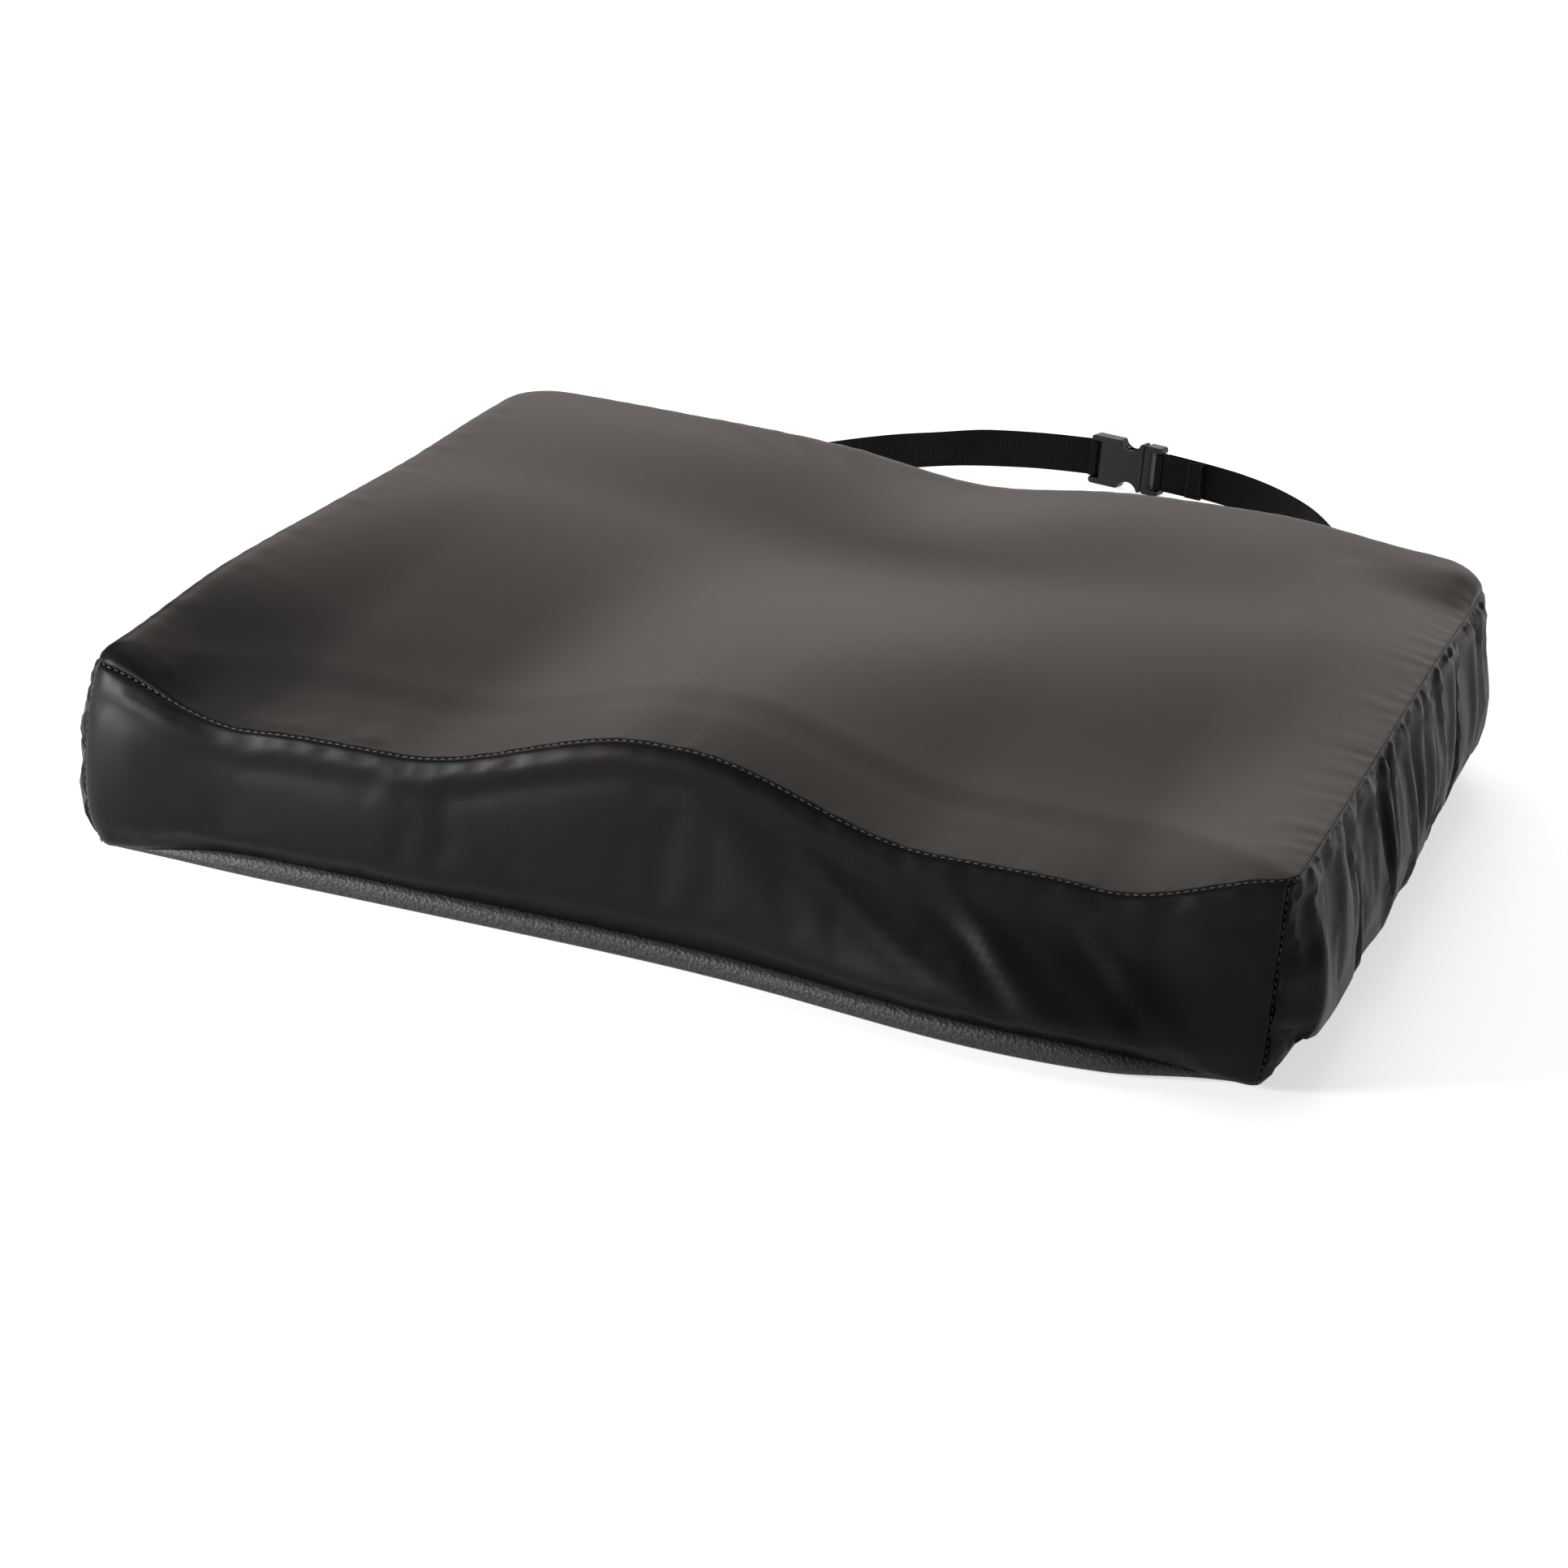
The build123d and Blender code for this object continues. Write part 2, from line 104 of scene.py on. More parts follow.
def crown(x, y):
    """Seat surface before its edge rolls over."""
    u = np.minimum(np.abs(2 * x / width), 1)
    v = np.clip(y / depth + 0.5, 0, 1)
    rise = front_height + (back_height - front_height) * v
    trough = trough_depth * smooth((1 - u) / 0.30) * smooth((u - 0.03) / 0.42)
    pommel = pommel_rise * (1 - smooth(u / 0.40))
    fade = 1 - smooth((v - 0.05) / 0.60)
    well = well_depth * bump(u / 0.50) * bump((v - 0.64) / 0.22)
    notch = notch_depth * bump(u / 0.21) * smooth((v - 0.72) / 0.26)
    stuffed = 4.6 * smooth((-x - 50) / 150) * smooth((v - 0.02) / 0.24) * (1.1 - 0.6 * v)
    stuffed += 3.0 * smooth((v - 0.62) / 0.30) * (1 - 2.3 * smooth((x - 130) / 80))
    tilt = 2.2 * 2 * x / width * (1 - smooth(v / 0.35))
    return rise - (trough - pommel) * fade - well - notch + stuffed + tilt


def rolled(x, y):
    """Drop of the top panel near its seam: a quarter round, or a slope at the front and right."""
    distance = edge_distance(x, y)
    reach = math.sqrt(roll_r ** 2 - (roll_r - roll_drop) ** 2)
    inward = np.clip(reach - distance, 0, None)
    tight = roll_r - np.sqrt(roll_r ** 2 - inward ** 2)
    gentle = roll_drop * np.clip(1 - distance / 60, 0, 1) ** 1.4
    front = smooth((-y - depth / 2 + 80) / 45) * smooth((x + 222) / 40)
    right = smooth((x - width / 2 + 80) / 45) * smooth((depth / 2 - 24 - y) / 50)
    return tight + np.maximum(front, right) * (gentle - tight)


def roll_share(x, y):
    """The roll-off is slight along the front edge, between its corners."""
    front = smooth((-y - depth / 2 + 70) / 40)
    return 1 - 0.62 * front * smooth((207 - np.abs(x)) / 70)


SIDES = ("front", "side_right", "back", "side_left")
WAY = np.array([(1, 0), (0, 1), (-1, 0), (0, -1)], float)
OUT = np.array([(0, -1), (1, 0), (0, 1), (-1, 0)], float)
CORNER_R = np.array([front_corner_r, front_corner_r, back_corner_r, back_corner_r])
CORNER = np.array([(-1, -1), (1, -1), (1, 1), (-1, 1)], float)
CENTRE = CORNER * (np.array([width / 2, depth / 2]) - CORNER_R[:, None])


def outline_side(side, fractions, inset=0.0):
    """Points and outward directions along one side, from corner seam to corner seam."""
    nxt = (side + 1) % 4
    way, out = WAY[side], OUT[side]
    r0, r1 = CORNER_R[side] - inset, CORNER_R[nxt] - inset
    start = CENTRE[side] + r0 * out
    straight = np.linalg.norm(CENTRE[nxt] + r1 * out - start)
    eighth = math.pi / 4
    full = (CORNER_R[side] + CORNER_R[nxt]) * eighth + straight
    bend0, bend1 = CORNER_R[side] * eighth / full, 1 - CORNER_R[nxt] * eighth / full
    points, normals = [], []
    for f in np.asarray(fractions):
        if f < bend0:
            a = eighth * (1 - f / bend0)
            normal = out * math.cos(a) - way * math.sin(a)
            point = CENTRE[side] + r0 * normal
        elif f <= bend1:
            normal = out
            point = start + way * straight * (f - bend0) / (bend1 - bend0)
        else:
            a = eighth * (f - bend1) / (1 - bend1)
            normal = out * math.cos(a) + way * math.sin(a)
            point = CENTRE[nxt] + r1 * normal
        points.append(point)
        normals.append(normal)
    return np.array(points), np.array(normals)


def stations(length, fine, step):
    """Fractions along a length, close together near both ends."""
    near = np.array(fine) / length
    count = max(2, round((1 - 2 * near[-1]) * length / step))
    middle = np.linspace(near[-1], 1 - near[-1], count + 1)[1:-1]
    return np.concatenate([near, middle, 1 - near[::-1]])


EDGE_LINES = (0, 0.6, 1.4, 2.6, 4.2, 6.4, 9.2, 12.4)
across = stations(width, EDGE_LINES, 2.9)
along = stations(depth, EDGE_LINES, 2.9)
SIDE_STATIONS = (across, along, across, along)


def folds(seed, s, h, count, zone, size, width_range, slant):
    """Gathers that hang from a seam: narrow ridges that fade towards the hem."""
    rng = random.Random(seed)
    total = np.zeros_like(s * h)
    for number in range(count):
        place = zone[0] + (zone[1] - zone[0]) * (number + rng.uniform(0.15, 0.85)) / count
        wide = rng.uniform(*width_range)
        tall = size * rng.uniform(0.55, 1.0)
        lean = slant * rng.uniform(0.6, 1.4)
        fade = rng.uniform(0.55, 1.0)
        bend = rng.uniform(-0.012, 0.012)
        centre = place + lean * h + bend * np.sin(3 * h)
        ridge = bump((s - centre) / wide) - 0.6 * bump((s - centre - 1.5 * wide) / (1.1 * wide))
        total += tall * ridge * smooth(h / 0.10) * (1 - smooth((h - fade * 0.55) / 0.45))
    return total


def corner_fade(s, reach):
    """0 at the corner seams, 1 past a share of the side from each."""
    return smooth(s / reach) * smooth((1 - s) / reach)


def hem_height(s):
    """The hem hangs to the floor at the corners and rides up between them."""
    return 1.6 + (hem_z - 1.6) * corner_fade(s, 0.16)


def puckers(seed, length, away):
    """Fine uneven ripples that a seam puts in the cloth beside it."""
    rng = random.Random(seed)
    total = np.zeros_like(length * away)
    for _ in range(9):
        pitch = rng.uniform(6, 17)
        phase = rng.uniform(0, 2 * math.pi)
        slow = rng.uniform(60, 160)
        swell = 0.5 + 0.5 * np.sin(2 * math.pi * length / slow + phase * 2)
        total += 0.09 * swell * np.sin(2 * math.pi * length / pitch + phase) * np.exp(-away / (0.7 * pitch))
    return total


def bow(s):
    """The front of the base bows forward, most on the right."""
    return 17.0 * bump((s - 0.80) / 0.19) * smooth((1 - s) / 0.12)


def corner_swell(side, s, h):
    """The front left corner is stuffed out below its seam."""
    near = {0: s, 3: 1 - s}.get(side, 1 + 0 * s)
    return 5.0 * np.sin(math.pi * np.clip(h, 0, 1)) ** 0.8 * (1 - smooth(near / 0.14))


def panel_relief(side, s, h, drop):
    """How far a side panel stands out from the outline; s runs along it, h down it."""
    name = SIDES[side]
    length = s * (width if side % 2 == 0 else depth)
    held = corner_fade(s, 0.045)
    tuck = base_inset * smooth((h - 0.80) / 0.20) * (0.35 + 0.65 * corner_fade(s, 0.12))
    if name == "front":
        swell = np.sin(math.pi * np.clip(h, 0, 1) ** 0.8)
        relief = 2.2 * swell + 0.9 * bump((drop - 7) / 4.0) - 0.6 * bump((drop - 14) / 4)
        relief += 1.4 * bump((s - 0.075) / 0.03) * bump((h - 0.16) / 0.10)
        relief += folds(3, s, h, 4, (0.72, 0.97), 0.2, (0.010, 0.018), -0.03)
        relief += folds(7, 1 - s, 1 - h, 5, (0.03, 0.20), 0.9, (0.010, 0.018), 0.22)
        relief += bow(s) * smooth((h - 0.30) / 0.60)
    elif name == "back":
        swell = np.sin(math.pi * np.clip(h, 0, 1) ** 0.9)
        relief = 1.5 * swell + 0 * s
        relief += folds(5, s, h, 9, (0.03, 0.97), 0.8, (0.008, 0.014), 0.01)
    else:
        flip = name == "side_left"
        rear = 1 - s if flip else s
        low = np.sin(math.pi * np.clip(h, 0, 1) ** 1.45)
        relief = (11.5 - 4.0 * smooth((rear - 0.3) / 0.6)) * low ** 0.9
        relief *= 0.45 if flip else 1.0
        relief += 0.7 * bump((drop - 6) / 4)
        relief += folds(11 + flip, rear, h, 11, (0.34, 0.97), 2.3, (0.009, 0.015), -0.045)
        relief += folds(21 + flip, rear, h, 5, (0.05, 0.40), 1.3, (0.018, 0.030), -0.05)
        relief += folds(31 + flip, rear, 1 - h, 8, (0.20, 0.97), 1.3, (0.010, 0.018), 0.03)
    fine = puckers(41 + side, length, drop) + puckers(51 + side, length, 70 * (1 - h))
    if name == "front":
        fine = 0.25 * fine
    return (relief + fine) * held + corner_swell(side, s, h) - tuck


def top_relief(x, y):
    """Pull lines and soft tension ripples of the top panel."""
    rng = random.Random(17)
    total = np.zeros_like(x)
    for number in range(9):
        cx = -width / 2 + 26 + 11.5 * number + rng.uniform(-3, 3)
        reach = rng.uniform(14, 30)
        lean = rng.uniform(-0.35, 0.05)
        dy = y + depth / 2
        ridge = bump((x - cx - lean * dy) / rng.uniform(2.2, 3.6))
        total += rng.uniform(0.35, 0.75) * ridge * smooth((dy - 3) / 6) * (1 - smooth(dy / reach))
    for number in range(8):
        cx = -width * 0.30 + 11 * number + rng.uniform(-3, 3)
        dy = depth / 2 - y
        lean = rng.uniform(0.4, 1.3)
        ridge = bump((x - cx - lean * dy) / rng.uniform(3, 5))
        total += rng.uniform(0.3, 0.6) * ridge * smooth((dy - 2) / 8) * (1 - smooth(dy / 44))
    for number in range(16):
        cy = -depth / 2 + 30 + 23 * number + rng.uniform(-5, 5)
        dx = width / 2 - np.abs(x)
        ridge = bump((y - cy - 0.3 * dx) / rng.uniform(4, 7))
        total += rng.uniform(0.1, 0.35) * ridge * smooth((dx - 2) / 6) * (1 - smooth(dx / 30))
    edge = np.minimum(width / 2 - np.abs(x), depth / 2 - np.abs(y))
    where = np.where(width / 2 - np.abs(x) < depth / 2 - np.abs(y), y, x)
    return (total + puckers(61, where, edge)) * smooth(edge / 1.5)


def plan_grid(inset=0.0):
    """Plan of the cushion as a grid of points, rows from front to back."""
    front = outline_side(0, across, inset)[0]
    right = outline_side(1, along, inset)[0]
    back = outline_side(2, 1 - across, inset)[0]
    left = outline_side(3, 1 - along, inset)[0]
    u = across[None, :, None]
    v = along[:, None, None]
    plan = (1 - v) * front[None] + v * back[None] + (1 - u) * left[:, None] + u * right[:, None]
    plan -= (1 - u) * (1 - v) * front[0] + u * (1 - v) * front[-1]
    plan -= (1 - u) * v * back[0] + u * v * back[-1]
    return plan[..., 0], plan[..., 1]


def top_grid():
    """Points of the top panel."""
    x, y = plan_grid()
    z = crown(x, y) - rolled(x, y) * roll_share(x, y) + top_relief(x, y)
    return np.stack([x, y, z], axis=-1)


WALL_LINES = np.array([0, 0.012, 0.03, 0.055, 0.085, 0.12, 0.16, 0.20, 0.245, 0.29, 0.34, 0.39,
                       0.44, 0.49, 0.54, 0.59, 0.64, 0.69, 0.74, 0.79, 0.84, 0.88, 0.92, 0.95,
                       0.975, 1.0])


def wall_grid(side):
    """Points of one side panel, rows from the top seam down to the hem."""
    s = SIDE_STATIONS[side]
    plan, normal = outline_side(side, s)
    x, y = plan[:, 0], plan[:, 1]
    seam = crown(x, y) - roll_drop * roll_share(x, y)
    h = WALL_LINES[:, None]
    z = seam[None] + (hem_height(s)[None] - seam[None]) * h
    out = panel_relief(side, s[None], h, seam[None] - z)
    xy = plan[None] + normal[None] * out[..., None]
    return np.concatenate([xy, z[..., None]], axis=-1)


def grid_faces(rows, columns):
    """Quads of a grid of points stored row by row."""
    faces = []
    for r in range(rows - 1):
        for c in range(columns - 1):
            a = r * columns + c
            faces.append((a, a + 1, a + columns + 1, a + columns))
    return faces


# ---- Materials ----
def shader(name, color, roughness, **sockets):
    """A material with one Principled shader and its node tree."""
    material = bpy.data.materials.new(name)
    material.use_nodes = True
    tree = material.node_tree
    principled = tree.nodes["Principled BSDF"]
    principled.inputs["Base Color"].default_value = (*color, 1)
    principled.inputs["Roughness"].default_value = roughness
    for socket, value in sockets.items():
        principled.inputs[socket.replace("_", " ")].default_value = value
    return material, tree, principled


def object_coordinates(tree):
    """Object coordinates in millimetres."""
    place = tree.nodes.new("ShaderNodeTexCoord")
    scale = tree.nodes.new("ShaderNodeVectorMath")
    scale.operation = "SCALE"
    scale.inputs["Scale"].default_value = 1 / MM
    tree.links.new(place.outputs["Object"], scale.inputs[0])
    return scale.outputs[0]


def noise_at(tree, where, per_mm, detail=2.0, rough=0.5):
    """Noise with a feature every 1 / per_mm millimetres."""
    node = tree.nodes.new("ShaderNodeTexNoise")
    node.inputs["Scale"].default_value = per_mm
    node.inputs["Detail"].default_value = detail
    node.inputs["Roughness"].default_value = rough
    tree.links.new(where, node.inputs["Vector"])
    return node.outputs["Fac"]


def ramp(tree, value, low_in, high_in, low_out, high_out):
    """Map a range of one value to another."""
    node = tree.nodes.new("ShaderNodeMapRange")
    for socket, number in zip(("From Min", "From Max", "To Min", "To Max"),
                              (low_in, high_in, low_out, high_out)):
        node.inputs[socket].default_value = number
    tree.links.new(value, node.inputs["Value"])
    return node.outputs["Result"]


def mix_colors(tree, factor, first, second):
    """Blend two colours by a value."""
    node = tree.nodes.new("ShaderNodeMix")
    node.data_type = "RGBA"
    node.inputs["A"].default_value = (*first, 1)
    node.inputs["B"].default_value = (*second, 1)
    tree.links.new(factor, node.inputs["Factor"])
    return node.outputs["Result"]


def bumps(tree, principled, heights, distance_mm, strength=1.0):
    """Chain bump nodes for several heights, coarse first."""
    last = None
    for height, distance in zip(heights, distance_mm):
        node = tree.nodes.new("ShaderNodeBump")
        node.inputs["Distance"].default_value = distance * MM
        node.inputs["Strength"].default_value = strength
        tree.links.new(height, node.inputs["Height"])
        if last is not None:
            tree.links.new(last, node.inputs["Normal"])
        last = node.outputs["Normal"]
    tree.links.new(last, principled.inputs["Normal"])


def coated_stretch_fabric():
    """Matt coated stretch fabric: a fine leather-like pore with a satin film."""
    material, tree, principled = shader("coated_stretch_fabric", (0.005, 0.0046, 0.0045), 0.42,
                                        Specular_IOR_Level=0.09,
                                        Specular_Tint=(1.0, 0.965, 0.945, 1))
    where = object_coordinates(tree)
    pores = noise_at(tree, where, 1.6, 3.0, 0.6)
    cloud = noise_at(tree, where, 0.02, 3.0)
    wear = ramp(tree, cloud, 0.3, 0.7, 0.0, 1.0)
    color = mix_colors(tree, wear, (0.0030, 0.0028, 0.0027), (0.0042, 0.0039, 0.0038))
    tree.links.new(color, principled.inputs["Base Color"])
    tree.links.new(ramp(tree, pores, 0.3, 0.7, 0.41, 0.46), principled.inputs["Roughness"])
    bumps(tree, principled, (pores,), (0.03,))
    return material


def grained_base_fabric():
    """Non-slip fabric with a rubbery pebble grain."""
    material, tree, principled = shader("grained_base_fabric", (0.012, 0.012, 0.014), 0.62,
                                        Specular_IOR_Level=0.35)
    where = object_coordinates(tree)
    pebble = tree.nodes.new("ShaderNodeTexVoronoi")
    pebble.feature = "SMOOTH_F1"
    pebble.inputs["Scale"].default_value = 0.85
    tree.links.new(where, pebble.inputs["Vector"])
    height = ramp(tree, pebble.outputs["Distance"], 0.0, 0.8, 1.0, 0.0)
    color = mix_colors(tree, height, (0.006, 0.006, 0.007), (0.020, 0.020, 0.023))
    tree.links.new(color, principled.inputs["Base Color"])
    tree.links.new(ramp(tree, height, 0.0, 1.0, 0.75, 0.5), principled.inputs["Roughness"])
    bumps(tree, principled, (height, noise_at(tree, where, 3.0)), (0.35, 0.05))
    return material


def woven_webbing():
    """Ribbed polypropylene webbing: weft ribs across it, fine warp along it."""
    material, tree, principled = shader("woven_webbing", (0.003, 0.003, 0.0034), 0.6,
                                        Specular_IOR_Level=0.10, Sheen_Weight=0.02,
                                        Sheen_Roughness=0.4)
    place = tree.nodes.new("ShaderNodeTexCoord")
    parts = tree.nodes.new("ShaderNodeSeparateXYZ")
    tree.links.new(place.outputs["UV"], parts.inputs[0])

    def wave(source, pitch_mm):
        """Ridges repeated every pitch_mm along a UV direction in millimetres."""
        scaled = tree.nodes.new("ShaderNodeMath")
        scaled.operation = "MULTIPLY"
        scaled.inputs[1].default_value = 2 * math.pi / pitch_mm
        tree.links.new(source, scaled.inputs[0])
        sine = tree.nodes.new("ShaderNodeMath")
        sine.operation = "SINE"
        tree.links.new(scaled.outputs[0], sine.inputs[0])
        return sine.outputs[0]

    ribs = wave(parts.outputs["X"], 1.5)
    warp = wave(parts.outputs["Y"], 0.8)
    height = ramp(tree, ribs, -1, 1, 0, 1)
    color = mix_colors(tree, height, (0.0010, 0.0010, 0.0012), (0.0050, 0.0050, 0.0055))
    tree.links.new(color, principled.inputs["Base Color"])
    tree.links.new(ramp(tree, warp, -1, 1, 0.5, 0.68), principled.inputs["Roughness"])
    bumps(tree, principled, (height, ramp(tree, warp, -1, 1, 0, 1)), (0.30, 0.10))
    return material


def moulded_plastic():
    """Black acetal with a fine spark-eroded texture."""
    material, tree, principled = shader("moulded_plastic", (0.004, 0.004, 0.0045), 0.42,
                                        Specular_IOR_Level=0.22)
    where = object_coordinates(tree)
    grain = noise_at(tree, where, 4.0, 2.0)
    tree.links.new(ramp(tree, grain, 0.3, 0.7, 0.36, 0.50), principled.inputs["Roughness"])
    color = mix_colors(tree, noise_at(tree, where, 0.3), (0.0030, 0.0030, 0.0034),
                       (0.0050, 0.0050, 0.0055))
    tree.links.new(color, principled.inputs["Base Color"])
    bumps(tree, principled, (grain,), (0.04,))
    return material


def sewing_thread():
    """Dark polyester thread."""
    material, tree, principled = shader("sewing_thread", (0.03, 0.03, 0.03), 0.5,
                                        Specular_IOR_Level=0.4)
    twist = tree.nodes.new("ShaderNodeTexWave")
    twist.inputs["Scale"].default_value = 0.9
    twist.bands_direction = "DIAGONAL"
    tree.links.new(object_coordinates(tree), twist.inputs["Vector"])
    color = mix_colors(tree, twist.outputs["Fac"], (0.018, 0.018, 0.018), (0.045, 0.044, 0.043))
    tree.links.new(color, principled.inputs["Base Color"])
    bumps(tree, principled, (twist.outputs["Fac"],), (0.08,))
    return material


def zip_tape_twill():
    """Twill tape of the zip."""
    material, tree, principled = shader("zip_tape_twill", (0.010, 0.010, 0.010), 0.8)
    wave = tree.nodes.new("ShaderNodeTexWave")
    wave.inputs["Scale"].default_value = 0.55
    wave.bands_direction = "DIAGONAL"
    tree.links.new(object_coordinates(tree), wave.inputs["Vector"])
    color = mix_colors(tree, wave.outputs["Fac"], (0.006, 0.006, 0.006), (0.016, 0.016, 0.016))
    tree.links.new(color, principled.inputs["Base Color"])
    bumps(tree, principled, (wave.outputs["Fac"],), (0.10,))
    return material


def lacquered_metal():
    """Black lacquered zinc casting, rubbed a little brighter in places."""
    material, tree, principled = shader("lacquered_metal", (0.03, 0.03, 0.03), 0.32, Metallic=0.6)
    rub = noise_at(tree, object_coordinates(tree), 0.7, 4.0)
    color = mix_colors(tree, ramp(tree, rub, 0.4, 0.75, 0, 1), (0.02, 0.02, 0.02),
                       (0.09, 0.088, 0.085))
    tree.links.new(color, principled.inputs["Base Color"])
    tree.links.new(ramp(tree, rub, 0.3, 0.7, 0.28, 0.42), principled.inputs["Roughness"])
    return material


def open_cell_foam(name, color):
    """Foam with open cells."""
    material, tree, principled = shader(name, color, 0.9, Specular_IOR_Level=0.2)
    where = object_coordinates(tree)
    cells = noise_at(tree, where, 1.2, 3.0)
    deep = tuple(0.7 * part for part in color)
    tree.links.new(mix_colors(tree, cells, deep, color), principled.inputs["Base Color"])
    bumps(tree, principled, (cells,), (0.4,))
    return material


cover_cloth = coated_stretch_fabric()
base_cloth = grained_base_fabric()
webbing_cloth = woven_webbing()
buckle_plastic = moulded_plastic()
thread = sewing_thread()
tape_cloth = zip_tape_twill()
zip_metal = lacquered_metal()
coil_plastic = moulded_plastic()
coil_plastic.name = "coil_monofilament"


# ---- Making pieces ----
def add_object(name, data):
    """A new object in the scene."""
    obj = bpy.data.objects.new(name, data)
    bpy.context.collection.objects.link(obj)
    return obj


def piece(name, points_mm, faces, material, body="cushion", replaces=(), uvs=None):
    """A mesh object from points in millimetres, tied to its body."""
    mesh = bpy.data.meshes.new(name)
    mesh.from_pydata([tuple(p) for p in np.asarray(points_mm) * MM], [], faces)
    mesh.shade_smooth()
    obj = add_object(name, mesh)
    mesh.materials.append(material)
    if uvs is not None:
        layer = mesh.uv_layers.new(name="length_across")
        corners = np.zeros(len(mesh.loops), int)
        mesh.loops.foreach_get("vertex_index", corners)
        layer.data.foreach_set("uv", np.asarray(uvs, np.float32)[corners].ravel())
    settle(obj, body, replaces)
    return obj


def settle(obj, body="cushion", replaces=()):
    """Tie a finished piece to its body and hide the solids that it stands for.

    A piece that bends between two bodies has no body of its own.
    """
    if body is not None:
        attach(obj, body)
    if replaces:
        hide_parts(*replaces)


def border(rows, columns):
    """Indices round the edge of a grid."""
    rim = list(range(columns))
    rim += [r * columns + columns - 1 for r in range(1, rows)]
    rim += [(rows - 1) * columns + c for c in range(columns - 2, -1, -1)]
    rim += [r * columns for r in range(rows - 2, 0, -1)]
    return rim


def shell_faces(rows, columns):
    """Faces of a closed sheet made of an outer grid followed by an inner one."""
    count = rows * columns
    faces = grid_faces(rows, columns)
    faces += [tuple(i + count for i in f[::-1]) for f in grid_faces(rows, columns)]
    rim = border(rows, columns)
    for a, b in zip(rim, rim[1:] + rim[:1]):
        faces.append((a + count, b + count, b, a))
    return faces


def tube_faces(rings, count, joined=False, capped=False):
    """Quads between rings of count points each, joined end to end or capped if asked."""
    faces = []
    for r in range(rings if joined else rings - 1):
        n = (r + 1) % rings
        for c in range(count):
            d = (c + 1) % count
            faces.append((r * count + c, r * count + d, n * count + d, n * count + c))
    if capped:
        faces.append(tuple(range(count))[::-1])
        faces.append(tuple((rings - 1) * count + c for c in range(count)))
    return faces


def grid_normals(grid):
    """Unit normals of a grid of points, outwards for the panels' order."""
    down = np.gradient(grid, axis=0)
    side = np.gradient(grid, axis=1)
    normal = np.cross(side, down)
    return normal / np.maximum(np.linalg.norm(normal, axis=-1, keepdims=True), 1e-9)


def sewn_edge(grid, normals, depth_mm, reach=2):
    """Pull a panel's edge in to its seam, most at the edge itself."""
    rows, columns = grid.shape[:2]
    r = np.arange(rows)[:, None]
    c = np.arange(columns)[None]
    steps = np.minimum(np.minimum(r, rows - 1 - r), np.minimum(c, columns - 1 - c))
    pull = depth_mm * np.clip(1 - steps / reach, 0, 1) ** 1.6
    return grid - normals * pull[..., None]


def cloth_panel(name, grid, node, seam_depth):
    """A closed sheet of cover fabric from a grid of outer points."""
    normals = grid_normals(grid)
    outer = sewn_edge(grid, normals, seam_depth)
    inner = outer - normals * cloth_t
    points = np.concatenate([outer.reshape(-1, 3), inner.reshape(-1, 3)])
    rows, columns = grid.shape[:2]
    return piece(name, points, shell_faces(rows, columns), cover_cloth,
                 replaces=(node,))


def relaxed(grid, slack, hold, pressure, frames=22):
    """Let a panel settle as real cloth, sewn down all round and stuffed from inside.

    slack is how much too large the cloth is for its place, and hold from 0 to 1 how
    firmly the foam keeps the middle where it is.
    """
    rows, columns = grid.shape[:2]
    mesh = bpy.data.meshes.new("settling")
    mesh.from_pydata([tuple(p) for p in grid.reshape(-1, 3) * MM], [], grid_faces(rows, columns))
    obj = add_object("settling", mesh)
    seams = obj.vertex_groups.new(name="seams")
    index = np.arange(rows * columns)
    r, c = index // columns, index % columns
    edge = (r < 2) | (r > rows - 3) | (c < 2) | (c > columns - 3)
    seams.add([int(i) for i in index[edge]], 1.0, "REPLACE")
    seams.add([int(i) for i in index[~edge]], hold, "REPLACE")
    cloth = obj.modifiers.new("cloth", "CLOTH")
    settings = cloth.settings
    settings.quality = 6
    settings.mass = 0.2
    settings.tension_stiffness = 25
    settings.compression_stiffness = 25
    settings.shear_stiffness = 10
    settings.bending_stiffness = 0.4
    settings.air_damping = 4
    settings.vertex_group_mass = "seams"
    settings.pin_stiffness = 1.0
    settings.shrink_min = -slack
    settings.shrink_max = -slack
    settings.use_pressure = True
    settings.uniform_pressure_force = pressure
    settings.effector_weights.gravity = 0
    cloth.collision_settings.use_collision = False
    scene = bpy.context.scene
    for number in range(1, frames + 1):
        scene.frame_set(number)
    graph = bpy.context.evaluated_depsgraph_get()
    made = obj.evaluated_get(graph).to_mesh()
    settled = np.empty(len(made.vertices) * 3)
    made.vertices.foreach_get("co", settled)
    settled = settled.reshape(grid.shape) / MM
    bpy.data.objects.remove(obj)
    bpy.data.meshes.remove(mesh)
    scene.frame_set(1)
    moved = settled - grid
    distance = np.linalg.norm(moved, axis=-1, keepdims=True)
    furthest = 4.0
    return grid + moved * np.minimum(1, furthest / np.maximum(distance, 1e-6))


def build_cover():
    """All the cover's panels."""
    top = cloth_panel("top_panel", top_grid(), "cover_top", 1.3)
    for side, name in enumerate(SIDES):
        if name != "back":
            slack = 0.002 if name == "front" else 0.035
            grid = relaxed(wall_grid(side)[::-1], slack, hold=0.04, pressure=0.02)
            panel = cloth_panel(f"{name}_panel", grid, f"cover_{name}", 1.3)
    build_back(wall_grid(SIDES.index("back")))


